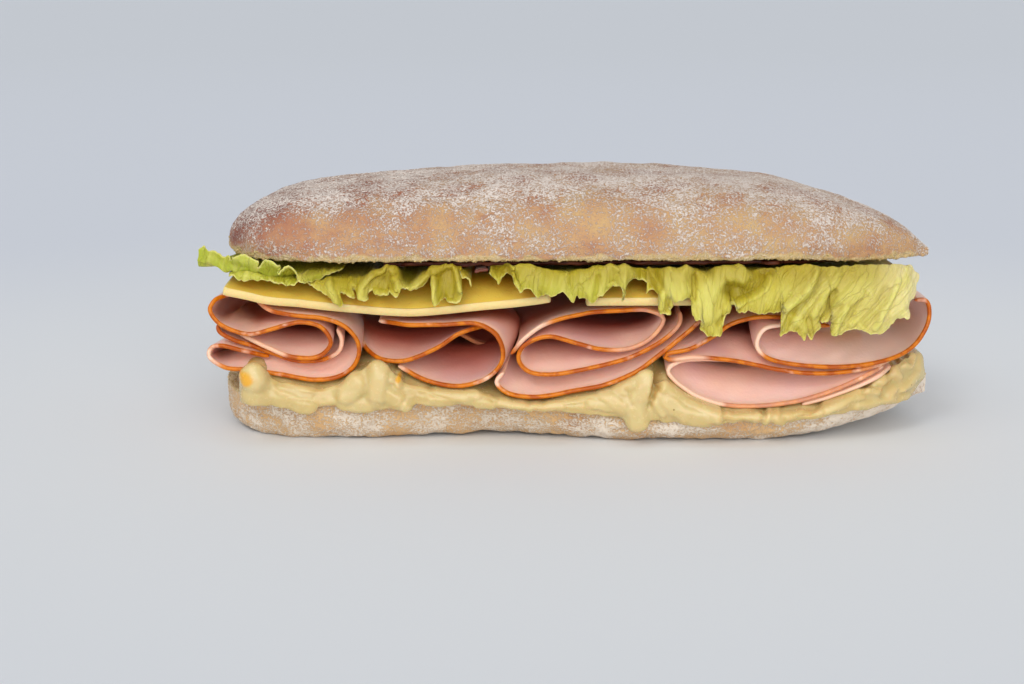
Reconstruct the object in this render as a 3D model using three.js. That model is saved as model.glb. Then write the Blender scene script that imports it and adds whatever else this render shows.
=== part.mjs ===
// Ciabatta sandwich with folded ham, sliced cheese, lettuce and egg mayonnaise.
// Millimetres, +Z up, the long open side towards -Y, the pointed end of the loaf towards +X.
// The origin lies under the middle of the sandwich, on the surface that it rests on.
import * as THREE from 'three';

// Driving dimensions
const HAM_THICKNESS = 1.2;
const LEAF_THICKNESS = 0.8;
const CHEESE_THICKNESS = 2.2;
const CHEESE_FRONT = -37;
const CHEESE_BACK = 37;
const DARK_LAYER_THICKNESS = 1.3;
const TOUCH_GAP = 0.35;
const MAYO_GAP = 0.5;
const CRUST_CORNER = 3.2;
const CRUST_ROUNDING = 2.6;
const LIP_THICKNESS = 1.8;
const CRUMB_TUCK = 0.8;
const TOP_LOAF_START = -103;
const TOP_LOAF_END = 106;
const BOTTOM_LOAF_START = -104.5;
const BOTTOM_LOAF_END = 107;

const lerp = (a, b, t) => a + (b - a) * t;
const steps = (count) => Array.from({ length: count + 1 }, (_, i) => i / count);
const bell = (x, middle, width) => Math.exp(-(((x - middle) / width) ** 2));
const easeEnds = (t) => (1 - Math.cos(Math.PI * t)) / 2;

// A smooth height, width or edge along the length, through [x, value] pairs
const profile = (pairs) => (x) => {
  const last = pairs.length - 1;
  if (x <= pairs[0][0]) return pairs[0][1];
  if (x >= pairs[last][0]) return pairs[last][1];
  const i = pairs.findIndex((pair) => pair[0] > x) - 1;
  const slope = (k) => {
    const a = pairs[Math.max(k - 1, 0)];
    const b = pairs[Math.min(k + 1, last)];
    return (b[1] - a[1]) / (b[0] - a[0]);
  };
  const span = pairs[i + 1][0] - pairs[i][0];
  const t = (x - pairs[i][0]) / span;
  const rise = pairs[i + 1][1] - pairs[i][1];
  const bend = t * t * (3 - 2 * t);
  const start = slope(i) * span * t * (1 - t) * (1 - t);
  const end = slope(i + 1) * span * t * t * (1 - t);
  return pairs[i][1] + rise * bend + start - end;
};

// Plan outline and heights of the two halves of the loaf
const TOP_LOAF = {
  front: profile([[-103, -2], [-101, -14], [-96, -27], [-88, -35], [-70, -39], [-30, -40],
    [10, -40.5], [45, -40.5], [68, -37.5], [85, -31], [97, -24], [106, -17]]),
  back: profile([[-103, 4], [-101, 14], [-96, 25], [-88, 33], [-70, 38], [-30, 40],
    [10, 40], [45, 38], [68, 32], [85, 21], [97, 3], [106, -14]]),
  crown: profile([[-103, 55.5], [-101.5, 58.5], [-98, 62.6], [-93, 66.4], [-87, 69.2], [-78, 71.2],
    [-60, 73], [-35, 74.6], [0, 75.8], [35, 74.9], [60, 72.5], [80, 67.7], [95, 61.2], [106, 53.4]]),
  cut: profile([[-103, 53.6], [-83, 53], [-30, 53.3], [43, 53.8], [60, 53.7], [80, 52.4], [95, 51.9],
    [106, 51.8]]),
};
const BOTTOM_LOAF = {
  front: profile([[-104.5, -4], [-103, -14], [-99, -25], [-92, -33], [-80, -38], [-60, -39.5], [-42, -37],
    [-22, -34.5], [-4, -37.5], [15, -41], [40, -41.5], [62, -39.5], [80, -35], [95, -27], [107, -15]]),
  back: profile([[-104.5, 2], [-103, 12], [-99, 23], [-92, 31], [-80, 36], [-60, 38.5],
    [0, 39.5], [40, 39], [62, 34], [80, 25], [95, 10], [107, -10]]),
  cut: profile([[-104.5, 13], [-60, 13], [-30, 12.5], [0, 10.5], [20, 8.5], [50, 7.8], [62, 8], [75, 9.3],
    [90, 11.3], [107, 12.6]]),
  sole: profile([[-104.5, 5], [-101, 2.5], [-95, 0.7], [-88, 0], [-80, 0], [52, 0], [60, 0.2], [72, 1.6],
    [85, 4.4], [98, 7.8], [107, 10.2]]),
  arch: (x) => 1.3 * bell(x, -24, 20),
};

// Egg mayonnaise: its level under the ham, and the lumps that stand up along the front and back
const MAYO_START = -98;
const MAYO_END = 105.5;
const mayoLevel = profile([[-98, 18], [-92, 20.6], [-83.5, 19.2], [-74, 17.6], [-66, 18.6], [-61.5, 21],
  [-57, 22.6], [-52, 20.6], [-42.5, 17.4], [-32, 16], [-25, 16], [-19.5, 13.8], [-11, 12.5], [-0.5, 14],
  [10.5, 16.2], [18, 19.4], [22.5, 21], [27, 17.6], [32.5, 13.8], [42.5, 10.2], [57.5, 10.1], [66, 10.4],
  [74, 12], [85, 16.6], [92, 19.2], [98, 21.2], [102.5, 19.6], [105.5, 14]]);
const mayoFront = profile([[-98, -33], [-96, -41.5], [-93.5, -44.8], [-90, -45.4], [-86, -44.2],
  [-60, -43.6], [-20, -43.4], [20, -44.6], [60, -44], [74, -42], [85, -38], [95, -32], [101, -26],
  [105.5, -19]]);
const mayoHem = profile([[-98, 13], [-91, 12.6], [-82, 11], [-75, 10], [-66, 12], [-46, 11.8],
  [-30, 12.4], [-8, 10.8], [10, 8.4], [18, 6], [24, 7.8], [36, 7], [55, 7.4], [66, 7.6], [75, 9],
  [90, 10.6], [98, 10], [105.5, 12]]);
const MAYO_LUMPS = [[-90, 3.4, 3.6], [-56, 2, 5], [20, 1.5, 4], [97, 2, 4]];

// Middle lines of the ham slices along their front rims, [x, y, z]; each slice runs from there to the back
const HAM_SLICES = {
  ham_left_outer: [[-92.5, -36, 39.6], [-86, -39, 38.2], [-79, -41, 38], [-70.5, -41, 37],
    [-65.2, -41, 35], [-61.8, -41, 31], [-61.2, -41, 27], [-63.3, -41, 22.6], [-67.5, -41, 20],
    [-74, -41, 19.2], [-83.5, -41, 20.8], [-92, -41, 22.2], [-99.5, -40, 22.8], [-103.7, -39, 26],
    [-102.6, -39, 28.6], [-98, -39, 28], [-93, -38, 26.2], [-87.5, -36, 24.6]],
  ham_left_roll: [[-95.5, -35, 40.6], [-98.5, -36, 41.4], [-101.6, -38, 41.8], [-103, -39, 39.5],
    [-101.5, -40, 36.6], [-98.3, -41, 34.4], [-92.1, -41, 32.6], [-85, -41, 34.2], [-77.5, -41, 36],
    [-71.4, -41, 34.4], [-69, -41, 30.1], [-72, -41, 26.4], [-79.5, -41, 25.8], [-87.5, -40, 28.7],
    [-93, -39, 30.9]],
  ham_left_liner: [[-101.2, -37, 34.6], [-100.4, -38, 32.6], [-96.8, -38, 30.4], [-92, -37, 28.6],
    [-86, -37, 26.2], [-79.5, -37, 24], [-72, -37, 24.2], [-67.4, -37, 26.8], [-66.6, -37, 30],
    [-67.8, -37, 33.4]],
  ham_middle_outer: [[-56.5, -35, 35.2], [-52, -38, 35.3], [-47, -41, 35.2], [-37, -41, 35.3],
    [-27.5, -42, 35.7], [-22, -42, 32.3], [-20.2, -42, 26], [-23.8, -42, 20.6], [-32, -42, 17.7],
    [-42.3, -41, 19.2], [-50.5, -39, 23]],
  ham_middle_inner: [[-58.6, -38, 27], [-55, -40, 25.2], [-48.2, -41, 24.8], [-40, -41, 28.1],
    [-33, -41, 32.7], [-29, -41, 33.8]],
  ham_middle_liner: [[-34.6, -30, 28.8], [-30.6, -30, 26.2], [-26, -30, 24.8], [-22.2, -30, 26]],
  ham_centre_roll: [[-17.9, -42, 27], [-14, -42, 31.6], [-7.9, -42, 35.8], [2.9, -40, 38.3],
    [12.7, -38, 38.7], [21.8, -37, 38.7], [26.2, -38, 36.6], [22.9, -40, 31.9], [16, -41, 28.4],
    [8.1, -41, 28.1], [0.4, -41, 30], [-7.9, -42, 32.1], [-14.6, -42, 29.2], [-15.9, -42, 25.6],
    [-13.2, -42, 22], [-7, -42, 21], [3.8, -42, 22.7], [16.1, -41, 25.8], [25.4, -40, 30.4],
    [30.6, -39, 35.2], [31.3, -37, 38.2]],
  ham_centre_outer: [[-20.1, -41, 21.6], [-22, -42, 18.8], [-19.6, -42, 15.9], [-11.2, -42, 14.4],
    [-0.4, -42, 16.1], [10.4, -42, 18.4], [19.3, -41, 22.5], [26.8, -40, 28], [34, -39, 33.6],
    [37.6, -38, 36.8]],
  ham_right_fold: [[72, -38, 36.9], [62, -39, 37], [52.6, -40, 37.2], [45, -40, 35.2], [39.7, -40, 31.4],
    [33.4, -40, 28], [27.4, -40, 26.6], [26.3, -40, 25.8], [27.4, -40, 25], [35.2, -40, 25.6],
    [46.4, -40, 24.5], [59.6, -40, 21.9], [70, -40, 20.6], [79, -39, 20.8]],
  ham_right_upper: [[73, -40, 34.8], [60, -40, 35.1], [54, -41, 33.8], [52.2, -41, 29.6],
    [54.2, -41, 26.3], [59.4, -41, 24.4], [73.4, -41, 23], [89.1, -39, 24.4], [97.4, -36, 28],
    [102, -33, 35.5], [101.2, -32, 40.4], [98, -31, 40.6]],
  ham_right_lower: [[48, -38, 22.2], [34, -39, 23.7], [28.4, -40, 23.4], [26.6, -41, 21.3],
    [32.8, -41, 16.1], [42.6, -41, 12], [57.5, -41, 11.9], [71.9, -40, 14.8], [85, -39, 20.4],
    [90, -38, 22.2]],
  ham_right_under: [[66, -39.5, 11.8], [74.1, -39, 13.8], [87.2, -38, 18.9], [92.5, -37, 21.2]],
};
// How far back the leaves and the slices reach
const leafBack = profile([[-107.5, -28], [-103, -23], [-99, -8], [-94, 18], [-88, 30], [-80, 37],
  [-40, 40], [20, 40], [60, 37], [80, 29], [95, 12], [100, 2]]);
const fillingBack = profile([[-108, -12], [-103.5, 20], [-95, 32], [-80, 39], [-40, 42], [20, 42],
  [60, 39], [80, 31], [95, 16], [103, 0]]);

// Undersides of the two cheese slices from one end to the other
const CHEESE_SLICES = {
  cheese_left: [[-99.5, 43.2], [-93, 41.8], [-87.3, 40.5], [-75.7, 39.4], [-62.3, 38], [-45.8, 37],
    [-27.5, 38.6], [-12.4, 40.1], [-6.5, 41]],
  cheese_right: [[3.4, 40], [22, 40.1], [34, 40.2], [60, 40.4], [88, 41.2]],
};

// Front edges of the lettuce leaves, [x, y, z] from left to right: the free hem, and the crest that it
// hangs from; rest is the height at which the leaf lies on the cheese
const LETTUCE_LEAVES = {
  lettuce_left_tip: {
    hem: [[-107.2, -34, 53], [-99.8, -37, 51.4], [-94.5, -39.5, 51], [-88.9, -41, 50.8], [-83.5, -40, 50],
      [-77, -40, 49], [-67, -38, 49.6]],
    crest: [[-106.6, -33, 54.4], [-101.5, -34, 54.8], [-94.5, -38, 52.6], [-88.9, -39, 52.4],
      [-83, -38.5, 52], [-76.5, -38, 52.2], [-67, -36, 51.6]],
    rest: 50.6,
  },
  lettuce_left_low: {
    hem: [[-98.3, -36, 49.2], [-92.8, -39, 47.4], [-85.4, -39.5, 47], [-80.1, -39, 46.3],
      [-76.8, -37, 46.8]],
    crest: [[-97, -34, 49.2], [-92, -36, 48.8], [-85, -36, 48.6], [-80.1, -36, 48], [-77.2, -35, 48]],
    rest: 46.9,
  },
  lettuce_left_ruffle: {
    hem: [[-74.6, -38, 47], [-70.5, -39.6, 46], [-66, -42, 41.2], [-61.7, -42, 43], [-56.4, -41, 44.3],
      [-49.4, -42, 45.1], [-43, -40, 46.5], [-39.6, -42, 42.6], [-34, -42, 41.4], [-29, -40, 48]],
    crest: [[-74.2, -35, 48.4], [-69.5, -37, 49], [-64, -38, 47.8], [-60, -39, 48.6], [-53, -39, 50.6],
      [-48, -39, 50], [-42, -39, 50.4], [-37, -39.5, 51.2], [-33.5, -39, 51], [-29, -37, 50]],
    rest: 45.3,
  },
  lettuce_middle: {
    hem: [[-23.6, -40, 49.6], [-21, -42, 47], [-15, -43, 45.4], [-9.6, -43, 43.4], [-2, -43, 42.4],
      [5, -43, 42.2], [10, -41.5, 46], [13.8, -43, 42.4], [17, -41, 48]],
    crest: [[-23, -40, 52], [-18, -40, 52.6], [-11.6, -40.5, 52], [-6, -40, 50.4], [-2, -40, 50],
      [4, -40, 51.4], [10, -40.5, 52.4], [14.6, -40.5, 52.4], [18.6, -39, 51]],
    rest: 46.2,
  },
  lettuce_right: {
    hem: [[20.6, -42, 45.2], [25, -44, 39.6], [29, -42, 42.4], [33.2, -43.5, 39], [37.5, -44.6, 33],
      [43.5, -42.5, 40], [52, -44, 38.9], [58, -44.6, 33], [66.5, -45, 31.6], [73, -44, 33.2],
      [80, -44, 33.4], [88, -43.5, 34], [95.5, -40, 37.4], [99.5, -33, 46]],
    crest: [[22.5, -39, 50.6], [29, -40.5, 52.2], [34, -40.5, 51.8], [38, -39, 50.2], [43, -40.5, 52],
      [50.3, -39.5, 50.8], [57, -40, 51.4], [63.7, -40, 51.6], [70, -39.5, 51.8], [76, -38.5, 51.8],
      [82, -37.5, 51.6], [88, -36, 51.4], [93, -34, 51.2], [97.5, -31, 50.8]],
    rest: 46.6,
  },
};
const DARK_LAYER_START = -54;
const DARK_LAYER_END = 76;
const darkLayerTop = (x) => TOP_LOAF.cut(x) - TOUCH_GAP;
const MEAT_SHAVING = [[-28.2, 49.7], [-26.2, 50.2], [-24.3, 50.6]];

// Colours and surfaces
const material = (color, roughness) => new THREE.MeshStandardMaterial({ color, roughness, metalness: 0 });
const MATERIALS = {
  crust: material(0xcfae8b, 0.85),
  mayo: material(0xf0dc98, 0.35),
  ham: material(0xdfa595, 0.4),
  cheese: material(0xf0cf72, 0.45),
  lettuce: material(0xc9cf6a, 0.5),
  dark: material(0x4a2a26, 0.5),
  shaving: material(0xcfa596, 0.5),
};

const sandwich = new THREE.Group();

// Adds one closed mesh from its corner points and triangles
function addMesh(name, look, points, triangles) {
  const geometry = new THREE.BufferGeometry();
  geometry.setAttribute('position', new THREE.Float32BufferAttribute(points.flat(), 3));
  geometry.setIndex(triangles.flat());
  geometry.computeVertexNormals();
  const mesh = new THREE.Mesh(geometry, MATERIALS[look]);
  mesh.name = name;
  sandwich.add(mesh);
}

// A closed body from a row of closed rings, each with the same number of points; rings turn so that faces
// point out when the row runs along +X and each ring goes from the front up and over to the back
function loft(name, look, rings) {
  const points = rings.flat();
  const size = rings[0].length;
  const triangles = [];
  for (let r = 0; r < rings.length - 1; r += 1) {
    for (let k = 0; k < size; k += 1) {
      const a = r * size + k;
      const b = r * size + ((k + 1) % size);
      triangles.push([a, a + size, b], [b, a + size, b + size]);
    }
  }
  const centre = (ring) => ring.reduce((sum, p) => sum.map((v, i) => v + p[i] / size), [0, 0, 0]);
  points.push(centre(rings[0]), centre(rings[rings.length - 1]));
  const end = (rings.length - 1) * size;
  for (let k = 0; k < size; k += 1) {
    const next = (k + 1) % size;
    triangles.push([points.length - 2, k, next]);
    triangles.push([points.length - 1, end + next, end + k]);
  }
  addMesh(name, look, points, triangles);
}

// A closed sheet of even thickness round a grid of points, grid[row][column]
function sheet(name, look, grid, thickness) {
  const rows = grid.length;
  const columns = grid[0].length;
  const clamp = (i, count) => Math.min(Math.max(i, 0), count - 1);
  const at = (r, c) => new THREE.Vector3(...grid[clamp(r, rows)][clamp(c, columns)]);
  const points = [];
  for (const side of [0.5, -0.5]) {
    for (let r = 0; r < rows; r += 1) {
      for (let c = 0; c < columns; c += 1) {
        const along = at(r, c + 1).sub(at(r, c - 1));
        const across = at(r + 1, c).sub(at(r - 1, c));
        const normal = along.cross(across).normalize();
        points.push(at(r, c).addScaledVector(normal, side * thickness).toArray());
      }
    }
  }
  const index = (side, r, c) => side * rows * columns + r * columns + c;
  const triangles = [];
  const quad = (a, b, c, d) => triangles.push([a, b, c], [a, c, d]);
  for (let r = 0; r < rows - 1; r += 1) {
    for (let c = 0; c < columns - 1; c += 1) {
      quad(index(0, r, c), index(0, r, c + 1), index(0, r + 1, c + 1), index(0, r + 1, c));
      quad(index(1, r, c), index(1, r + 1, c), index(1, r + 1, c + 1), index(1, r, c + 1));
    }
    quad(index(0, r, 0), index(0, r + 1, 0), index(1, r + 1, 0), index(1, r, 0));
    const side = columns - 1;
    quad(index(0, r + 1, side), index(0, r, side), index(1, r, side), index(1, r + 1, side));
  }
  for (let c = 0; c < columns - 1; c += 1) {
    const end = rows - 1;
    quad(index(0, 0, c + 1), index(0, 0, c), index(1, 0, c), index(1, 0, c + 1));
    quad(index(0, end, c), index(0, end, c + 1), index(1, end, c + 1), index(1, end, c));
  }
  addMesh(name, look, points, triangles);
}

// Half a superellipse from the front (turn 0) over the far side to the back (turn 1)
function crustPoint(turn, front, back, level, reach) {
  const angle = Math.PI * turn;
  const middle = (front + back) / 2;
  const half = (back - front) / 2;
  const sideways = -Math.sign(Math.cos(angle)) * Math.abs(Math.cos(angle)) ** (2 / CRUST_CORNER);
  return [middle + half * sideways, level + reach * Math.sin(angle) ** (2 / CRUST_ROUNDING)];
}

function topBread() {
  const turns = [0.03, 0.1, 0.19, 0.28, 0.38, 0.5, 0.62, 0.72, 0.81, 0.9, 0.97];
  const rings = steps(22).map((t) => {
    const x = lerp(TOP_LOAF_START, TOP_LOAF_END, easeEnds(t));
    const front = TOP_LOAF.front(x);
    const back = TOP_LOAF.back(x);
    const cut = TOP_LOAF.cut(x);
    const reach = TOP_LOAF.crown(x) - cut;
    const ring = turns.map((turn) => crustPoint(turn, front, back, cut, reach));
    const tuck = CRUMB_TUCK * Math.min(1, (back - front) / 20);
    ring.unshift([front + tuck, cut]);
    ring.push([back - tuck, cut]);
    return ring.map(([y, z]) => [x, y, z]);
  });
  loft('bread_top', 'crust', rings);
}

function bottomBread() {
  const turns = [0.97, 0.89, 0.8, 0.74, 0.5, 0.26, 0.2, 0.11, 0.03];
  const flatten = 1.35;
  const rings = steps(22).map((t) => {
    const x = lerp(BOTTOM_LOAF_START, BOTTOM_LOAF_END, easeEnds(t));
    const front = BOTTOM_LOAF.front(x);
    const back = BOTTOM_LOAF.back(x);
    const cut = BOTTOM_LOAF.cut(x);
    const sole = Math.max(0, BOTTOM_LOAF.sole(x));
    const depth = (cut - sole) * flatten;
    const ring = turns.map((turn) => {
      const [y, z] = crustPoint(turn, front, back, 0, depth);
      return [y, Math.max(cut - z, turn < 0.5 ? sole + BOTTOM_LOAF.arch(x) : sole)];
    });
    const tuck = CRUMB_TUCK * Math.min(1, (back - front) / 20);
    ring.unshift([back - tuck, cut]);
    ring.push([front + tuck, cut]);
    return ring.map(([y, z]) => [x, y, z]);
  });
  loft('bread_bottom', 'crust', rings);
}

function eggMayo() {
  const rings = steps(54).map((t) => {
    const x = lerp(MAYO_START, MAYO_END, t);
    const front = BOTTOM_LOAF.front(x);
    const back = BOTTOM_LOAF.back(x);
    const middle = (front + back) / 2;
    const floor = BOTTOM_LOAF.cut(x) + TOUCH_GAP;
    const level = Math.max(mayoLevel(x), floor + 0.5);
    const hem = Math.min(mayoHem(x), floor - 1);
    const lump = MAYO_LUMPS.reduce((sum, [at, height, width]) => sum + height * bell(x, at, width), 0);
    const outFront = Math.min(front - MAYO_GAP - LIP_THICKNESS, mayoFront(x));
    const outBack = back + MAYO_GAP + LIP_THICKNESS;
    const bulge = lerp(hem, level, 0.45);
    const crest = level + lump;
    return [
      [front - MAYO_GAP, hem], [outFront + 0.9, hem - 0.3], [outFront, bulge],
      [outFront + 0.4, lerp(bulge, crest, 0.7)], [outFront + 1.6, crest], [outFront + 2.2, level],
      [middle, level], [outBack - 1, level], [outBack, bulge], [outBack - 0.9, hem - 0.3],
      [back + MAYO_GAP, hem], [back + MAYO_GAP, floor], [middle, floor], [front - MAYO_GAP, floor],
    ].map(([y, z]) => [x, y, z]);
  });
  loft('egg_mayonnaise', 'mayo', rings);
}

// The slices lean and spread a little on their way to the back; one smooth shift for all of them keeps
// them clear of each other
function hamShift(x, y, z) {
  const away = Math.min(Math.max((y + 42) / 10, 0), 1);
  const lean = 4 * away * bell(x, -20, 16) * Math.min(Math.max((z - 20) / 18, 0), 1);
  const fade = Math.min(Math.max((30 - y) / 50, 0), 1);
  return lean * fade + 1.6 * Math.sin((Math.PI * (y + 42)) / 60) * Math.sin(x / 24);
}

function hamSlice(name, rim) {
  const curve = new THREE.CatmullRomCurve3(rim.map((p) => new THREE.Vector3(...p)), false, 'centripetal');
  const count = Math.max(8, Math.round(curve.getLength() / 3.8));
  const line = curve.getSpacedPoints(count);
  const depths = [0, 0.14, 0.5, 1];
  const grid = depths.map((depth) => line.map((p) => {
    const y = lerp(p.y, Math.max(fillingBack(p.x), p.y + 12), depth);
    return [p.x + hamShift(p.x, y, p.z), y, p.z];
  }));
  sheet(name, 'ham', grid, HAM_THICKNESS);
}

function cheeseSlice(name, underside) {
  const start = underside[0][0];
  const end = underside[underside.length - 1][0];
  const height = profile(underside);
  const depths = [CHEESE_FRONT, -20, 20, CHEESE_BACK];
  const corner = 2;
  const grid = depths.map((y) => steps(16).map((t) => {
    const atCorner = y === CHEESE_FRONT || y === CHEESE_BACK;
    const x = lerp(start + (atCorner ? corner / 2 : 0), end, t);
    return [x, y, height(x) + CHEESE_THICKNESS / 2];
  }));
  sheet(name, 'cheese', grid, CHEESE_THICKNESS);
}

function lettuceLeaf(name, leaf) {
  const curveOf = (line) => new THREE.CatmullRomCurve3(line.map((p) => new THREE.Vector3(...p)));
  const count = Math.round((leaf.hem.length - 1) * 1.5);
  const hem = steps(count).map((t) => curveOf(leaf.hem).getPoint(t));
  const crest = steps(count).map((t) => curveOf(leaf.crest).getPoint(t));
  const back = crest.map((p) => Math.max(leafBack(p.x), p.y + 4));
  const bulge = hem.map((p, i) => {
    const q = crest[i];
    return [lerp(p.x, q.x, 0.6), lerp(p.y, q.y, 0.35), lerp(p.z, q.z, 0.65)];
  });
  const backHem = crest.map((p, i) => {
    const droop = Math.min(1, (back[i] - p.y) / 50);
    return [p.x, back[i] + 3, lerp(p.z - 1.5, leaf.rest - 1, droop)];
  });
  const rows = [
    hem.map((p) => p.toArray()),
    bulge,
    crest.map((p) => p.toArray()),
    crest.map((p, i) => [p.x, lerp(p.y, back[i], 0.07), Math.min(p.z, leaf.rest + 3)]),
    crest.map((p, i) => [p.x, lerp(p.y, back[i], 0.3), leaf.rest]),
    crest.map((p, i) => [p.x, lerp(p.y, back[i], 0.75), leaf.rest]),
    crest.map((p, i) => [p.x, back[i], Math.min(p.z, leaf.rest + 2.4)]),
    backHem,
  ];
  sheet(name, 'lettuce', rows, LEAF_THICKNESS);
}

function darkLayer() {
  const rows = [-36.6, 0, 36].map((y) => steps(12).map((t) => {
    const x = lerp(DARK_LAYER_START, DARK_LAYER_END, t);
    const edge = y * Math.min(1, 0.7 + (DARK_LAYER_END - x) / 60);
    return [x, edge, darkLayerTop(x) - DARK_LAYER_THICKNESS / 2];
  }));
  sheet('dark_layer', 'dark', rows, DARK_LAYER_THICKNESS);
}

function meatShaving() {
  const rows = [-36, 0, 30].map((y) => MEAT_SHAVING.map(([x, z]) => [x, y, z]));
  sheet('meat_shaving', 'shaving', rows, 1);
}

bottomBread();
eggMayo();
Object.entries(HAM_SLICES).forEach(([name, rim]) => hamSlice(name, rim));
Object.entries(CHEESE_SLICES).forEach(([name, underside]) => cheeseSlice(name, underside));
Object.entries(LETTUCE_LEAVES).forEach(([name, leaf]) => lettuceLeaf(name, leaf));
meatShaving();
darkLayer();
topBread();

export default sandwich;
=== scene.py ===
"""Looks of a ciabatta sandwich: floured crust, egg mayonnaise, folded ham, cheese and lettuce."""
import math

import bpy
import numpy as np
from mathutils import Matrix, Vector, noise


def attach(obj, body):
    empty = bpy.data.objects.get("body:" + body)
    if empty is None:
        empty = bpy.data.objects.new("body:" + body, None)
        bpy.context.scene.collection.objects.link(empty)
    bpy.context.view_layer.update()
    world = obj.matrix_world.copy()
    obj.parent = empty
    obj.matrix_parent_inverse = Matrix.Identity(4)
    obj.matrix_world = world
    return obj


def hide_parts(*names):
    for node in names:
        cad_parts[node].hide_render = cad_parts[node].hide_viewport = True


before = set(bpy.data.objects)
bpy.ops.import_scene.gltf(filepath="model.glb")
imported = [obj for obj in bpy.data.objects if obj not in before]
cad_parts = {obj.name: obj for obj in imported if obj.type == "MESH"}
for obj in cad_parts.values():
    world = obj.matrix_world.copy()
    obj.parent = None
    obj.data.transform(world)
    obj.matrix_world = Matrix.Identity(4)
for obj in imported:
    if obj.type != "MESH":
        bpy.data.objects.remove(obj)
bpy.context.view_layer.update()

MM = 0.001

# Driving sizes and places, in millimetres
HAM_THICKNESS = 1.25
LEAF_THICKNESS = 0.5
CHEESE_THICKNESS = 2.3
CHEESE_REST = 43.4
CHEESE_FRONT = -39.5
CHEESE_BACK = 37.0
DARK_LAYER_THICKNESS = 1.2
MAYO_GAP = 0.3
MAYO_LIP = 1.8
CRUST_CORNER = 3.2
CRUST_ROUNDING = 2.6
CRUMB_TUCK = 0.8
CRUMB_BAND = 2.6
HAM_RISE = 7.5
HAM_FRONT = -42.0
HAM_GAP = -18.5
OPEN_END = -104.0
TOUCH_GAP = 0.35
# Distances between the points of a mesh
FINEST_STEP = 0.12
LEAF_STEP = 0.45
CRUST_STEP = 0.85
RIM_BAND = 5.0
# Inside the loaf the slices fan out as if from a line this far in front of it, at this place along it
FAN_MIDDLE = -17.5
FAN_DISTANCE = 515.0


# ---------------------------------------------------------------- sums that the shapes share

def lerp(a, b, t):
    return a + (b - a) * t


def bell(x, middle, width):
    return np.exp(-(((x - middle) / width) ** 2))


def ease(x, low, high):
    t = np.clip((x - low) / (high - low), 0.0, 1.0)
    return t * t * (3.0 - 2.0 * t)


def ease_ends(count):
    return (1.0 - np.cos(np.linspace(0.0, math.pi, count))) / 2.0


def profile(pairs):
    """A smooth height, width or edge along the length, through (x, value) pairs."""
    xs, values = np.array(pairs, float).T
    last = len(xs) - 1
    before = np.maximum(np.arange(last + 1) - 1, 0)
    after = np.minimum(np.arange(last + 1) + 1, last)
    slopes = (values[after] - values[before]) / (xs[after] - xs[before])

    def at(x):
        x = np.clip(np.asarray(x, float), xs[0], xs[-1])
        i = np.clip(np.searchsorted(xs, x, side="right") - 1, 0, last - 1)
        span = xs[i + 1] - xs[i]
        t = (x - xs[i]) / span
        bend = (values[i + 1] - values[i]) * t * t * (3.0 - 2.0 * t)
        start = slopes[i] * span * t * (1.0 - t) ** 2
        end = slopes[i + 1] * span * t * t * (1.0 - t)
        return values[i] + bend + start - end

    return at


def smooth_line(points, places):
    """A centripetal Catmull-Rom line; places run from 0 to 1 over the points' numbers."""
    points = np.array(points, float)
    spans = len(points) - 1
    points = np.vstack([2 * points[0] - points[1], points, 2 * points[-1] - points[-2]])
    along = np.clip(np.asarray(places, float), 0.0, 1.0) * spans
    i = np.minimum(along.astype(int), spans - 1)
    t = (along - i)[:, None]
    p0, p1, p2, p3 = (points[i + k] for k in range(4))

    def reach(a, b):
        return np.maximum(np.linalg.norm(b - a, axis=1), 1e-6)[:, None] ** 0.5

    d0, d1, d2 = reach(p0, p1), reach(p1, p2), reach(p2, p3)
    leave = ((p1 - p0) / d0 - (p2 - p0) / (d0 + d1) + (p2 - p1) / d1) * d1
    arrive = ((p2 - p1) / d1 - (p3 - p1) / (d1 + d2) + (p3 - p2) / d2) * d1
    square = -3 * p1 + 3 * p2 - 2 * leave - arrive
    cube = 2 * p1 - 2 * p2 + leave + arrive
    return p1 + leave * t + square * t ** 2 + cube * t ** 3


def even_line(points, count):
    """The same line with its points spread evenly by length."""
    dense = smooth_line(points, np.linspace(0.0, 1.0, 60 * len(points)))
    run = np.concatenate([[0.0], np.cumsum(np.linalg.norm(np.diff(dense, axis=0), axis=1))])
    wanted = np.linspace(0.0, run[-1], count)
    return np.stack([np.interp(wanted, run, dense[:, k]) for k in range(3)], axis=1)


def ripple(points, size, octaves, seed):
    """Smooth noise of about -1 to 1, with features of the given size or sizes along x, y and z."""
    flat = np.asarray(points, float).reshape(-1, 3) / np.asarray(size, float)
    flat = flat + np.array([17.3, -9.1, 5.7]) * seed + 0.37
    values = [noise.fractal(Vector(p), 0.9, 2.0, octaves) for p in flat]
    return np.array(values).reshape(np.shape(points)[:-1])


def averaged(line, window):
    """A line of points, each moved to the mean of its neighbours within a window of points."""
    window = int(window) // 2 * 2 + 1
    padded = np.pad(line, ((window // 2, window // 2), (0, 0)), mode="edge")
    kernel = np.ones(window) / window
    return np.stack([np.convolve(padded[:, k], kernel, mode="valid") for k in range(line.shape[1])], axis=1)


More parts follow.
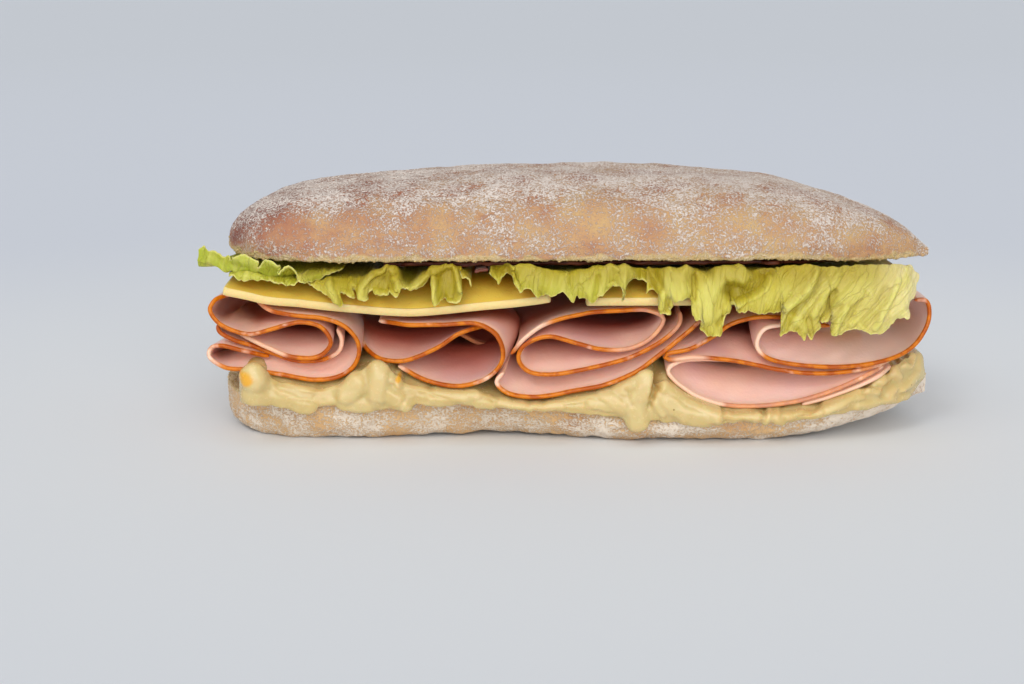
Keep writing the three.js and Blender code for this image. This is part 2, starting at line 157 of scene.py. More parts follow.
def fold_rise(x, z, folds):
    """How far folds lift a surface that faces the front. Each fold is a line of x, z points, a half width and
    a rise; where two meet, the higher one wins, which leaves a crease, and creases cut in the same way."""
    lift, sink = np.zeros(x.shape), np.zeros(x.shape)
    for points, half_width, rise in folds:
        away = np.full(x.shape, np.inf)
        for (x0, z0), (x1, z1) in zip(points[:-1], points[1:]):
            run = (x1 - x0) ** 2 + (z1 - z0) ** 2
            share = np.clip(((x - x0) * (x1 - x0) + (z - z0) * (z1 - z0)) / run, 0.0, 1.0)
            away = np.minimum(away, np.hypot(x - lerp(x0, x1, share), z - lerp(z0, z1, share)))
        bump = rise * ease(1.25 - away / half_width, 0.0, 0.9)
        lift, sink = np.maximum(lift, bump), np.minimum(sink, bump)
    return lift, sink


def grid_normals(grid, ring=False):
    """Unit normals of a grid of points, columns x rows; ring joins the last row to the first."""
    along = np.gradient(grid, axis=0)
    if ring:
        across = np.roll(grid, -1, axis=1) - np.roll(grid, 1, axis=1)
    else:
        across = np.gradient(grid, axis=1)
    normal = np.cross(along, across)
    return normal / np.maximum(np.linalg.norm(normal, axis=2, keepdims=True), 1e-9)


# ---------------------------------------------------------------- pieces

def new_object(name, data):
    """An object in the scene for a mesh, light or camera."""
    made = bpy.data.objects.new(name, data)
    bpy.context.scene.collection.objects.link(made)
    return made


def keep_marks(mesh, marks):
    """Writes values for the points of a mesh, under the names that the looks and trees read."""
    for mark, values in marks.items():
        mesh.attributes.new(mark, "FLOAT", "POINT").data.foreach_set("value", np.asarray(values, np.float32))


def new_piece(name, points, faces, marks=None):
    """A smooth mesh from points in millimetres; marks are values kept at its points."""
    mesh = bpy.data.meshes.new(name)
    mesh.from_pydata((np.asarray(points) * MM).tolist(), [], faces)
    mesh.shade_smooth()
    keep_marks(mesh, marks or {})
    return new_object(name, mesh)


def finish(piece, look, slot, *nodes):
    """Gives a piece its material, hangs it under the root body and hides the solids of the frame that it
    stands for.
    """
    piece.data.materials.clear()
    piece.data.materials.append(look)
    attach(piece, "root")
    if nodes:
        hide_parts(*nodes)


def closed_loft(name, rings, marks):
    """A closed body from rings of points (rings x points x 3), fanned shut at both ends."""
    count, size = rings.shape[:2]
    points = rings.reshape(-1, 3)
    points = np.vstack([points, rings[0].mean(axis=0), rings[-1].mean(axis=0)])
    faces = []
    for r in range(count - 1):
        for k in range(size):
            a = r * size + k
            b = r * size + (k + 1) % size
            faces.append((a, a + size, b + size, b))
    first, last = count * size, count * size + 1
    end = (count - 1) * size
    for k in range(size):
        after = (k + 1) % size
        faces.append((first, k, after))
        faces.append((last, end + after, end + k))
    kept = {mark: np.concatenate([values.reshape(-1), [values[0].mean(), values[-1].mean()]])
            for mark, values in marks.items()}
    return new_piece(name, points, faces, kept)


def closed_sheet(name, middle, half, marks=None):
    """A closed sheet round a grid of middle points (columns x rows x 3) with a half thickness at each;
    its two sides meet along the border."""
    columns, rows = middle.shape[:2]
    normal = grid_normals(middle)
    top = (middle + normal * half[..., None]).reshape(-1, 3)
    inside = np.zeros((columns, rows), bool)
    inside[1:-1, 1:-1] = True
    under = (middle - normal * half[..., None])[inside]
    upper = np.arange(columns * rows).reshape(columns, rows)
    lower = upper.copy()
    lower[inside] = columns * rows + np.arange(len(under))
    faces = []
    for number, flip in ((upper, False), (lower, True)):
        corners = np.stack([number[:-1, :-1], number[1:, :-1], number[1:, 1:], number[:-1, 1:]], axis=-1)
        corners = corners.reshape(-1, 4)
        faces += (corners[:, ::-1] if flip else corners).tolist()
    kept = {mark: np.concatenate([values.reshape(-1), values[inside]])
            for mark, values in (marks or {}).items()}
    return new_piece(name, np.vstack([top, under]), faces, kept)


def rounded(distance, radius, power=2.0):
    """Share of the full thickness at a distance from an edge; a higher power gives a squarer edge."""
    return (1.0 - (1.0 - np.clip(distance / radius, 0.0, 1.0)) ** power) ** (1.0 / power)


def edge_places(length, step):
    """Places from 0 to length, close together at both ends and about a step apart between them."""
    near = np.cumsum(FINEST_STEP * 1.55 ** np.arange(12))
    near = near[near < min(step * 4, length / 3)]
    between = np.linspace(near[-1], length - near[-1], max(3, int((length - 2 * near[-1]) / step)))
    return np.concatenate([[0.0], near[:-1], between, (length - near[:-1])[::-1], [length]])


# ---------------------------------------------------------------- nodes

class Wire:
    """One output of a node, for use in sums: vectors go through Vector Math, numbers through Math."""

    def __init__(self, tree, socket):
        self.tree = tree
        self.socket = socket

    def also(self, name):
        """Another output of the same node."""
        return Wire(self.tree, self.socket.node.outputs[name])

    def math(self, operation, *values):
        """A sum with this wire as its first term; the other terms are wires, numbers or vectors."""
        terms = (self,) + values
        vector = any(isinstance(v, Wire) and v.socket.type in ("VECTOR", "RGBA") for v in terms)
        kind = "ShaderNodeVectorMath" if vector else "ShaderNodeMath"
        return self.tree.node(kind, {"operation": operation}, dict(enumerate(terms)))

    def __add__(self, other):
        return self.math("ADD", other)

    def __radd__(self, other):
        return self.math("ADD", other)

    def __sub__(self, other):
        return self.math("SUBTRACT", other)

    def __rsub__(self, other):
        return (self * -1.0).math("ADD", other)

    def __mul__(self, other):
        return self.math("MULTIPLY", other)

    def __rmul__(self, other):
        return self.math("MULTIPLY", other)

    def __truediv__(self, other):
        return self.math("DIVIDE", other)

    def __pow__(self, other):
        return self.math("POWER", other)

    def ease(self, low, high):
        """0 below low, 1 above high and smooth between."""
        settings = {"interpolation_type": "SMOOTHSTEP"}
        return self.tree.node("ShaderNodeMapRange", settings, {0: self, 1: low, 2: high}, "Result")

    def held(self):
        """Held between 0 and 1."""
        return self.tree.node("ShaderNodeClamp", {}, {0: self})


class Nodes:
    """Writes the nodes of one material or one Geometry Nodes tree."""

    def __init__(self, tree):
        self.tree = tree

    def node(self, kind, settings=None, inputs=None, out=0):
        """Adds a node with its settings and inputs, which are wires or plain values, and gives one output."""
        made = self.tree.nodes.new(kind)
        for name, value in (settings or {}).items():
            if name == "stops":
                self.set_stops(made, value)
            else:
                setattr(made, name, value)
        for name, value in (inputs or {}).items():
            socket = made.inputs[name]
            if isinstance(value, Wire):
                self.tree.links.new(value.socket, socket)
            elif socket.type == "VECTOR" and isinstance(value, (int, float)):
                socket.default_value = (value, value, value)
            else:
                socket.default_value = value
        return Wire(self, made.outputs[out]) if len(made.outputs) else None

    def set_stops(self, ramp, stops):
        while len(ramp.color_ramp.elements) < len(stops):
            ramp.color_ramp.elements.new(0.5)
        for element, (place, colour) in zip(ramp.color_ramp.elements, stops):
            element.position = place
            element.color = colour

    def mark(self, name):
        """A value kept at the points of a mesh, for a material."""
        return self.node("ShaderNodeAttribute", {"attribute_name": name}, out="Fac")

    def mesh_mark(self, name):
        """A value kept at the points of a mesh, for a Geometry Nodes tree."""
        return self.node("GeometryNodeInputNamedAttribute", {"data_type": "FLOAT"}, {"Name": name},
                         "Attribute")

    def vector(self, **parts):
        return self.node("ShaderNodeCombineXYZ", {}, parts)

    def scaled(self, direction, factor):
        return self.node("ShaderNodeVectorMath", {"operation": "SCALE"}, {0: direction, "Scale": factor})

    def grain(self, place, size, detail, rough=0.5, out="Fac"):
        """Noise with features of about the given size in metres."""
        inputs = {"Vector": place, "Scale": 1.0 / size, "Detail": detail, "Roughness": rough}
        return self.node("ShaderNodeTexNoise", {}, inputs, out)

    def cells(self, place, size, feature="F1"):
        """Distances in a pattern of cells of about the given size in metres."""
        inputs = {"Vector": place, "Scale": 1.0 / size}
        return self.node("ShaderNodeTexVoronoi", {"feature": feature}, inputs, "Distance")

    def mix(self, share, first, second):
        return self.node("ShaderNodeMix", {"data_type": "RGBA"}, {0: share, 6: first, 7: second}, 2)

    def bump(self, height, depth):
        """A bumpy normal: the height is 0 to 1 and the depth is what 1 stands for, in metres."""
        inputs = {"Height": height, "Distance": depth, "Strength": 1.0}
        return self.node("ShaderNodeBump", {}, inputs, "Normal")

    def close(self, shape, look, output):
        """Ends a Geometry Nodes tree with smooth, real faces that wear the look."""
        smooth = self.node("GeometryNodeSetShadeSmooth", {}, {"Geometry": shape})
        real = self.node("GeometryNodeRealizeInstances", {}, {"Geometry": smooth})
        dressed = self.node("GeometryNodeSetMaterial", {}, {"Geometry": real, "Material": look})
        self.node("NodeGroupOutput", {}, {output: dressed})


def new_tree(name, output, inputs):
    """An empty Geometry Nodes tree, the writer of its nodes and its first input, which is a shape."""
    tree = bpy.data.node_groups.new(name, "GeometryNodeTree")
    for label, kind in inputs.items():
        tree.interface.new_socket(label, in_out="INPUT", socket_type="NodeSocket" + kind)
    tree.interface.new_socket(output, in_out="OUTPUT", socket_type="NodeSocketGeometry")
    make = Nodes(tree)
    return tree, make, make.node("NodeGroupInput")


def colour(red, green, blue):
    """Linear colour from 8-bit screen values."""
    def linear(value):
        value /= 255.0
        return value / 12.92 if value <= 0.04045 else ((value + 0.055) / 1.055) ** 2.4
    return (linear(red), linear(green), linear(blue), 1.0)


def new_look(name, paint, **steady):
    """A material: paint gives what varies over the surface, steady values go on the shader itself."""
    material = bpy.data.materials.new(name)
    material.use_nodes = True
    material.node_tree.nodes.clear()
    look = Nodes(material.node_tree)
    place = look.node("ShaderNodeTexCoord", out="Object")
    inputs = {socket.replace("_", " "): value for socket, value in steady.items()}
    inputs.update(paint(look, place))
    surface = look.node("ShaderNodeBsdfPrincipled", {}, inputs)
    look.node("ShaderNodeOutputMaterial", {}, {"Surface": surface})
    return material


# ---------------------------------------------------------------- materials

def floured_crust(flour, *baked_tones):
    """Crust under flour; the baked tones run from the palest to the darkest."""

    def paint(look, place):
        cover = look.mark("flour")
        browned = look.mark("brown")
        crumb = look.mark("crumb")
        drift = look.grain(place, 0.005, 3.0, out="Color")
        warped = place + (drift - 0.5) * 0.006
        fine = look.grain(place, 0.0006, 2.0, 0.7)
        clump = look.grain(place, 0.0021, 4.0, 0.75)
        blotch = look.grain(place, 0.011, 3.0, 0.6)
        stretched = warped * (0.45, 1.0, 0.9)
        crack = 1.0 - look.cells(stretched, 0.0046, "DISTANCE_TO_EDGE").ease(0.005, 0.1)
        crack = crack * look.grain(place, 0.008, 3.0).ease(0.5, 0.64) * cover.ease(0.1, 0.6)
        floured = (cover + (clump - 0.5) * 1.5 + (fine - 0.5) * 3.4 - crack * 0.3).ease(0.1, 0.95)
        baked = browned + (blotch - 0.5) * 0.75 + (clump - 0.5) * 0.5 + (fine - 0.5) * 0.6 + crack * 0.2
        stops = list(zip((0.0, 0.3, 0.65, 1.0), baked_tones))
        crust = look.node("ShaderNodeValToRGB", {"stops": stops}, {"Fac": baked.held()}, "Color")
        torn = ((fine - 0.5) * 2.2 + (clump - 0.5) * 1.2 + 0.5).held()
        open_crumb = look.mix(torn, colour(184, 154, 94), colour(238, 214, 162))
        opened = (crumb + (clump - 0.5) * 0.9 + (fine - 0.5) * 0.9).ease(0.2, 0.8)
        bare = look.mix(opened * 0.9, crust, open_crumb)
        tone = look.mix(floured * (1.0 - opened * 0.7), bare, flour)
        height = clump * 0.5 + fine * 0.35 + floured * 0.25 - crack * 0.2
        return {"Base Color": tone, "Roughness": 0.75 + floured * 0.2, "Normal": look.bump(height, 0.0008)}

    return paint


def loose_flour(look, place):
    fine = look.grain(place, 0.0005, 2.0)
    tone = look.mix(fine, colour(222, 208, 198), colour(244, 238, 232))
    return {"Base Color": tone, "Normal": look.bump(fine, 0.0003)}


def torn_crumb(look, place):
    fine = look.grain(place, 0.0006, 2.0)
    tone = look.mix(fine, colour(176, 142, 84), colour(224, 200, 146))
    return {"Base Color": tone, "Normal": look.bump(fine, 0.0004)}


def egg_sauce(look, place):
    yolk = look.mark("yolk")
    white = look.mark("white")
    drift = look.grain(place, 0.006, 3.0, 0.55)
    fine = look.grain(place, 0.0014, 3.0, 0.6)
    spots = look.cells(place, 0.0052)
    speck = (1.0 - spots.ease(0.035, 0.07)) * look.grain(place, 0.009, 1.0).ease(0.46, 0.5)
    tone = look.mix(drift.ease(0.3, 0.7), colour(204, 178, 114), colour(213, 191, 132))
    tone = look.mix(white * 0.5, tone, colour(222, 203, 150))
    # Painted shade: the sauce is painted darker and browner in its creases
    tone = look.mix((look.mark("crease") * 0.5).held() * 0.45, tone, colour(186, 142, 66))
    tone = look.mix(yolk, tone, colour(228, 172, 58))
    tone = look.mix(speck * 0.7, tone, colour(128, 92, 44))
    height = drift * 0.6 + fine * 0.15
    return {"Base Color": tone, "Roughness": 0.2 + fine * 0.12, "Normal": look.bump(height, 0.0004)}


def cooked_ham(look, place):
    edge = look.mark("edge")
    bare = look.mark("bare")
    drift = look.grain(place, 0.009, 3.0, 0.55)
    cloud = look.grain(place, 0.022, 2.0, 0.5)
    fine = look.grain(place, 0.0012, 3.0, 0.6)
    meat = look.mix((drift - 0.5) * 1.6 + 0.5, colour(252, 214, 196), colour(246, 198, 180))
    meat = look.mix(cloud.ease(0.45, 0.72) * 0.6, meat, colour(240, 198, 196))
    # Painted shade and light: the meat is painted darker the deeper it lies in a fold, and paler, as if lit,
    # where a slice lies open
    inward = look.mark("inward")
    painted_shade = (inward + (cloud - 0.5) * 8.0).ease(5.0, 24.0)
    meat = look.mix((1.0 - inward.ease(-40.0, 0.0)) * 0.8, meat, colour(255, 218, 206))
    meat = look.mix(painted_shade, meat, colour(170, 86, 68))
    pits = (1.0 - look.cells(place, 0.006).ease(0.02, 0.06)) * look.grain(place, 0.012, 1.0).ease(0.48, 0.56)
    meat = look.mix(pits * 0.6, meat, colour(164, 92, 78))
    broken = (look.grain(place, 0.008, 3.0, 0.6) - 0.6).math("MAXIMUM", 0.0) * 7.0
    bare = (bare + broken).held()
    wobble = (look.grain(place, 0.003, 2.0) - 0.5) * 0.5
    browned = (1.0 - (edge + wobble).ease(0.6, 1.1).math("MAXIMUM", bare * 0.95)).held()
    warm = (1.0 - (edge + wobble).ease(0.4, 3.2)) * 0.45
    meat = look.mix(warm, meat, colour(250, 204, 162))
    tint = look.grain(place, 0.005, 3.0, 0.6)
    rind = look.mix(tint.ease(0.4, 0.6), colour(178, 84, 6), colour(212, 122, 14))
    tone = look.mix(browned, meat, rind)
    height = drift * 0.4 + fine * 0.3 - pits * 0.3
    roughness = 0.42 - fine * 0.12 + painted_shade * 0.3
    return {"Base Color": tone, "Roughness": roughness, "Normal": look.bump(height, 0.0004)}


def sliced_cheese(look, place):
    edge = look.mark("edge")
    fine = look.grain(place, 0.0009, 3.0, 0.6)
    drift = look.grain(place, 0.012, 3.0, 0.5)
    face = look.mix(drift, colour(255, 204, 76), colour(255, 212, 98))
    # Painted shade: the face is painted a deeper gold further from the edges, where it lies in shade under
    # the leaves and bread
    face = look.mix(edge.ease(3.0, 20.0), face, colour(255, 196, 46))
    # The cut edge is paler cream, partly its own colour and partly painted light on the face that looks to
    # the front
    cut = look.mix(fine, colour(238, 202, 134), colour(244, 214, 150))
    tone = look.mix(edge.ease(0.15, 0.9), cut, face)
    pits = 1.0 - look.cells(place, 0.0019).ease(0.08, 0.22)
    return {"Base Color": tone, "Roughness": 0.38 + fine * 0.14,
            "Normal": look.bump(fine * 0.3 + drift * 0.4 - pits * 0.25, 0.0004)}


def lettuce_leaf_look(look, place):
    deep = look.mark("deep")
    fold = look.mark("fold")
    across = look.mark("across") * MM
    spread = look.vector(X=across, Y=deep * 0.00012, Z=fold * 0.0002)
    streak = look.grain(spread, 0.0012, 3.0, 0.6)
    broad = look.grain(spread, 0.0034, 2.0, 0.5)
    warped = spread * (1.0, 2.6, 1.0) + (look.grain(place, 0.004, 2.0, out="Color") - 0.5) * 0.0022
    vein = 1.0 - look.cells(warped, 0.0056, "DISTANCE_TO_EDGE").ease(0.004, 0.022)
    blister = look.grain(place, 0.003, 3.0, 0.5)
    cloud = look.grain(place, 0.011, 3.0, 0.5)
    tone = look.mix((cloud - 0.5) * 2.4 + 0.5, colour(188, 169, 44), colour(205, 190, 82))
    tone = look.mix(look.mark("green"), tone, colour(168, 184, 58))
    tone = look.mix(look.mark("pale"), tone, colour(228, 214, 158))
    tone = look.mix(((broad - 0.5) * 3.0).held(), tone, colour(218, 210, 122))
    tone = look.mix(((streak - 0.5) * 2.4).held() * 0.6, tone, colour(166, 150, 28))
    # Painted light and shade: the leaf is painted lighter on its ridges and darker in its hollows
    tone = look.mix((fold * 0.45).held() * 0.7, tone, colour(220, 214, 116))
    tone = look.mix((fold * -0.4).held() * 0.8, tone, colour(158, 140, 22))
    tone = look.mix(look.mark("shade") * 0.6, tone, colour(166, 142, 26))
    tone = look.mix(vein * 0.18, tone, colour(140, 116, 50))
    rim = 1.0 - deep.ease(0.15, 0.6)
    tone = look.mix(rim * 0.5, tone, colour(232, 226, 148))
    height = blister * 0.4 + streak * 0.8 + broad * 0.5 - vein * 0.15
    return {"Base Color": tone, "Roughness": 0.34 + blister * 0.2, "Normal": look.bump(height, 0.0009)}


def dark_leaf(look, place):
    streak = look.grain(place * (0.3, 1.0, 1.0), 0.0022, 4.0, 0.65)
    tone = look.mix(streak.ease(0.35, 0.7), colour(56, 14, 4), colour(110, 56, 36))
    return {"Base Color": tone, "Roughness": 0.3 + streak * 0.25, "Normal": look.bump(streak, 0.0006)}


def shaved_meat(look, place):
    edge = look.mark("edge")
    streak = look.grain(place, 0.0016, 3.0, 0.6)
    tone = look.mix(streak, colour(222, 176, 160), colour(242, 214, 200))
    tone = look.mix(1.0 - edge.ease(0.2, 0.9), tone, colour(120, 58, 44))
    return {"Base Color": tone, "Roughness": 0.4 + streak * 0.1, "Normal": look.bump(streak, 0.0004)}


SOFT = {"Subsurface_Radius": (1.0, 0.45, 0.25)}
CRUST_LOOK = new_look("floured_crust", floured_crust(
    colour(227, 214, 204), colour(203, 166, 114), colour(194, 149, 106), colour(173, 114, 85),
    colour(136, 72, 54)))
SOLE_LOOK = new_look("floured_sole", floured_crust(
    colour(240, 225, 207), colour(230, 188, 134), colour(220, 174, 120), colour(194, 138, 94),
    colour(160, 98, 70)))
FLOUR_LOOK = new_look("loose_flour", loose_flour, Roughness=0.95)
CRUMB_LOOK = new_look("torn_crumb", torn_crumb, Roughness=0.85, Subsurface_Weight=0.2, Subsurface_Scale=0.001)
SAUCE_LOOK = new_look("egg_sauce", egg_sauce, Subsurface_Weight=0.6, Subsurface_Scale=0.003, **SOFT)
HAM_LOOK = new_look("cooked_ham", cooked_ham, Subsurface_Weight=0.3, Subsurface_Scale=0.002,
                    Specular_IOR_Level=0.3, **SOFT)
CHEESE_LOOK = new_look("sliced_cheese", sliced_cheese, Subsurface_Weight=0.6, Subsurface_Scale=0.005,
                       Specular_IOR_Level=0.3, **SOFT)
LEAF_LOOK = new_look("lettuce_leaf", lettuce_leaf_look, Subsurface_Weight=0.6, Subsurface_Scale=0.0015,
                     Subsurface_Radius=(0.8, 1.0, 0.3), Specular_IOR_Level=0.3)
DARK_LOOK = new_look("dark_leaf", dark_leaf, Specular_IOR_Level=0.2)
SHAVING_LOOK = new_look("shaved_meat", shaved_meat)


# ---------------------------------------------------------------- the two halves of the loaf

TOP_START, TOP_END = -103.0, 105.0
TOP_FRONT = profile([(-103, -2), (-101, -14), (-96, -27), (-88, -35), (-70, -39), (-30, -40), (10, -40.5),
                     (45, -40.5), (68, -37.5), (85, -31), (97, -24), (106, -17)])
TOP_BACK = profile([(-103, 4), (-101, 14), (-96, 25), (-88, 33), (-70, 38), (-30, 40), (10, 40), (45, 38),
                    (68, 32), (85, 21), (97, 3), (106, -14)])
TOP_CROWN = profile([(-103, 55.5), (-101.5, 58.5), (-98, 62.6), (-93, 66.4), (-87, 69.2), (-78, 71.2),
                     (-60, 73), (-35, 74.6), (0, 75.8), (35, 74.9), (60, 72.5), (80, 67.7), (95, 61.2),
                     (106, 53.4)])
TOP_CUT = profile([(-103, 53.6), (-83, 53), (-30, 53.3), (43, 53.8), (60, 53.7), (80, 52.4), (95, 51.9),
                   (106, 51.8)])

BOTTOM_START, BOTTOM_END = -104.5, 107.0
BOTTOM_FRONT = profile([(-104.5, -4), (-103, -14), (-99, -25), (-92, -33), (-80, -38), (-60, -39.5),
                        (-42, -37), (-22, -34.5), (-4, -37.5), (15, -41), (40, -41.5), (62, -39.5),
                        (80, -35), (95, -27), (107, -15)])
BOTTOM_BACK = profile([(-104.5, 2), (-103, 12), (-99, 23), (-92, 31), (-80, 36), (-60, 38.5), (0, 39.5),
                       (40, 39), (62, 34), (80, 25), (95, 10), (107, -10)])
BOTTOM_CUT = profile([(-104.5, 13), (-60, 13), (-30, 12.5), (0, 10.5), (20, 8.5), (50, 7.8), (62, 8),
                      (75, 9.3), (90, 11.3), (99, 12.6), (107, 15.4)])
BOTTOM_SOLE = profile([(-104.5, 5), (-101, 2.5), (-95, 0.7), (-88, 0), (-80, 0), (52, 0), (60, 0.2),
                       (72, 1.6), (85, 4.4), (98, 7.6), (107, 9.6)])
BREAD_RINGS = 400


def crust_points(turn, front, back, level, reach):
    """Half a superellipse from the front (turn 0) over the far side to the back (turn 1)."""
    angle = math.pi * turn
    middle = (front + back) / 2
    half = (back - front) / 2
    sideways = -np.sign(np.cos(angle)) * np.abs(np.cos(angle)) ** (2 / CRUST_CORNER)
    rise = np.maximum(np.sin(angle), 0.0) ** (2 / CRUST_ROUNDING)
    return middle + half * sideways, level + reach * rise


def crust_turns(half, reach, fine):
    """Turns that put points a fine step apart near the two rims, and CRUST_STEP apart between them."""
    turn = np.linspace(0.0, 1.0, 6000)
    y, z = crust_points(turn, -half, half, 0.0, reach)
    run = np.concatenate([[0.0], np.cumsum(np.hypot(np.diff(y), np.diff(z)))])
    near = np.arange(0.0, RIM_BAND, fine)
    between = np.linspace(RIM_BAND, run[-1] - RIM_BAND, int((run[-1] - 2 * RIM_BAND) / CRUST_STEP))
    wanted = np.concatenate([near, between, run[-1] - near[::-1]])
    return np.interp(wanted, run, turn)


def soften(rings, times):
    """Rounds the corners of closed rings a little."""
    for _ in range(times):
        rings = 0.5 * rings + 0.25 * (np.roll(rings, 1, axis=1) + np.roll(rings, -1, axis=1))
    return rings


def top_bread():
    x = lerp(TOP_START, TOP_END, ease_ends(BREAD_RINGS))[:, None]
    turn = crust_turns(40.0, 22.0, 0.4)[None, :]
    front, back, cut, crown = (f(x) for f in (TOP_FRONT, TOP_BACK, TOP_CUT, TOP_CROWN))
    y, z = crust_points(turn, front, back, cut, crown - cut)
    tuck = CRUMB_TUCK * np.minimum(1.0, (back - front) / 20.0)
    across = np.linspace(0.0, 1.0, 56)[None, :]
    under_y = lerp(back - tuck, front + tuck, across)
    under_z = cut + 0 * under_y
    y, z = np.hstack([y, under_y]), np.hstack([z, under_z])
    rings = soften(np.stack([x + 0 * y, y, z], axis=2), 2)
    normal = grid_normals(rings, ring=True)
    height = (rings[..., 2] - cut) / np.maximum(crown - cut, 0.5)
    above = rings[..., 2] - cut
    near_rim = 1.0 - ease(above, 0.6, CRUMB_BAND + 1.5)
    swell = 0.85 * ripple(rings, 24.0, 2, 1) + 0.3 * ripple(rings, 7.0, 3, 2)
    wrinkled = ease(-rings[..., 0], -30, 40) * ease(height, 0.2, 0.6)
    crease = 1.0 - np.abs(ripple(rings, (11.0, 4.5, 4.5), 2, 3)) * 3.2
    lift = swell - 0.28 * wrinkled * np.clip(crease, 0.0, 1.0)
    fuzz = 0.5 * ripple(rings, 1.5, 3, 4) + 0.5 * ripple(rings, 4.0, 2, 5)
    small = np.minimum(1.0, (back - front) / 30.0)
    rings = rings + normal * (lift * (1.0 - near_rim) * small + fuzz * near_rim * 0.8)[..., None]
    patch = ripple(rings, 13.0, 3, 6)
    along = rings[..., 0]
    left, end = 1.0 - ease(along, -70, 5), 1.0 - ease(along, -98, -66)
    right, tip = ease(along, 60, 105), ease(along, 97, 105)
    flour = 0.27 + 0.45 * ease(height, 0.45, 0.98) + 0.34 * patch - 0.08 * right
    flour = flour - 0.16 * end * (1.0 - ease(height, 0.6, 0.95)) + 0.1 * tip
    brown = 0.3 + 0.24 * ripple(rings, 10.0, 3, 7) + 0.18 * left
    brown = brown + 0.45 * end * ease(height, 0.1, 0.5)
    brown = brown + 0.2 * ease(height, 0.6, 1.0) - 0.1 * tip
    crumb = 1.0 - ease(above + 1.5 * ripple(rings, 5.0, 3, 8), 0.4, CRUMB_BAND)
    return closed_loft("bread_top", rings, {"flour": flour, "brown": brown, "crumb": crumb * (1.0 - tip)})


def bottom_bread():
    x = lerp(BOTTOM_START, BOTTOM_END, ease_ends(BREAD_RINGS))[:, None]
    turn = crust_turns(38.0, 15.0, 0.45)[None, ::-1]
    front, back, cut = BOTTOM_FRONT(x), BOTTOM_BACK(x), BOTTOM_CUT(x)
    sole = np.maximum(BOTTOM_SOLE(x), 0.0)
    y, down = crust_points(turn, front, back, 0.0, (cut - sole) * 1.35)
    arch = 1.3 * bell(x, -24, 20) * (turn < 0.5)
    z = np.maximum(cut - down, sole + arch)
    tuck = CRUMB_TUCK * np.minimum(1.0, (back - front) / 20.0)
    across = np.linspace(0.0, 1.0, 50)[None, :]
    over_y = lerp(front + tuck, back - tuck, across)
    y, z = np.hstack([y, over_y]), np.hstack([z, cut + 0 * over_y])
    rings = soften(np.stack([x + 0 * y, y, z], axis=2), 4)
    normal = grid_normals(rings, ring=True)
    below = cut - rings[..., 2]
    near_rim = 1.0 - ease(below, 0.4, 3.0)
    lift = 0.6 * ripple(rings, 15.0, 2, 11) + 0.4 * ripple(rings, 5.0, 3, 12)
    lift = lift - 0.3 * np.clip(1.0 - np.abs(ripple(rings, (7.0, 3.5, 3.5), 2, 13)) * 3.0, 0.0, 1.0)
    fuzz = 0.45 * ripple(rings, 1.6, 3, 14)
    small = np.minimum(1.0, (back - front) / 30.0)
    rings = rings + normal * (lift * (1.0 - near_rim) * small + fuzz * near_rim)[..., None]
    rings[..., 2] = np.maximum(rings[..., 2], 0.0)
    flour = 0.52 + 0.6 * ripple(rings, (12.0, 7.0, 7.0), 3, 15) + 0.56 * ease(rings[..., 0], 50, 85)
    brown = 0.18 + 0.4 * ripple(rings, 9.0, 3, 16) + 0.25 * ease(rings[..., 0], 96, 105)
    crumb = 1.0 - ease(below + 0.8 * ripple(rings, 4.0, 2, 17), 0.3, 1.5)
    return closed_loft("bread_bottom", rings, {"flour": flour, "brown": brown, "crumb": crumb})


# ---------------------------------------------------------------- egg mayonnaise

MAYO_START, MAYO_END = -96.5, 105.5
MAYO_LEVEL = profile([(-96.5, 18.6), (-92, 20.6), (-83.5, 19.2), (-74, 17.6), (-66, 18.6), (-61.5, 21),
                      (-57, 22.6), (-52, 20.6), (-42.5, 17.4), (-32, 16), (-25, 16), (-19.5, 13.8),
                      (-11, 12.5), (-0.5, 14), (10.5, 16.2), (18, 19.4), (22.5, 21), (27, 17.6),
                      (32.5, 13.8), (42.5, 10.2), (57.5, 10.1), (66, 10.4), (74, 12), (85, 16.6),
                      (92, 19.2), (98, 21.6), (102.5, 22), (105.5, 18.6)])
MAYO_FRONT = profile([(-96.5, -33), (-95.3, -41.5), (-93.3, -44.8), (-90, -45.4), (-86, -44.2), (-60, -43.6),
                      (-20, -43.4), (20, -44.6), (60, -44), (74, -42), (85, -38), (95, -32), (101, -26),
                      (105.5, -19)])
MAYO_HEM = profile([(-96.5, 17.5), (-93.7, 14.6), (-89.9, 13.3), (-82.8, 12.2), (-78, 10), (-74.2, 10.6),
                    (-73, 12.2), (-68.2, 12.8), (-66, 11.2), (-57.3, 10.6), (-51.9, 11.2), (-48.6, 10.6),
                    (-45.9, 12.4), (-38.2, 12.6), (-30.1, 12.6), (-26.8, 11.7), (-20.9, 11.9),
                    (-15.8, 12.4), (-8.2, 11.4), (-0.6, 12), (4.5, 11), (9.6, 9.6), (14.1, 8.4),
                    (15.7, 6.5), (18.2, 5.7), (20.8, 6.5), (22.3, 9.4), (25.4, 7.5), (33, 7.5),
                    (39.1, 6.7), (42.7, 8), (47.5, 7.7), (52.9, 7.4), (55.8, 7.7), (58.4, 6.8),
                    (60.1, 6.5), (61, 7.6), (64, 8.3), (68, 9), (73.3, 10.2), (79, 11.3), (84.8, 11.7),
                    (87.9, 12), (90.8, 11.1), (95, 10.5), (99, 10.4), (101.9, 12), (105.5, 14.4)])
# Where the mayonnaise is heaped up: place along the loaf, height and width
MAYO_LUMPS = [(-90, 3.4, 3.6), (-56, 2, 5), (20, 1.5, 4), (97, 2, 4)]
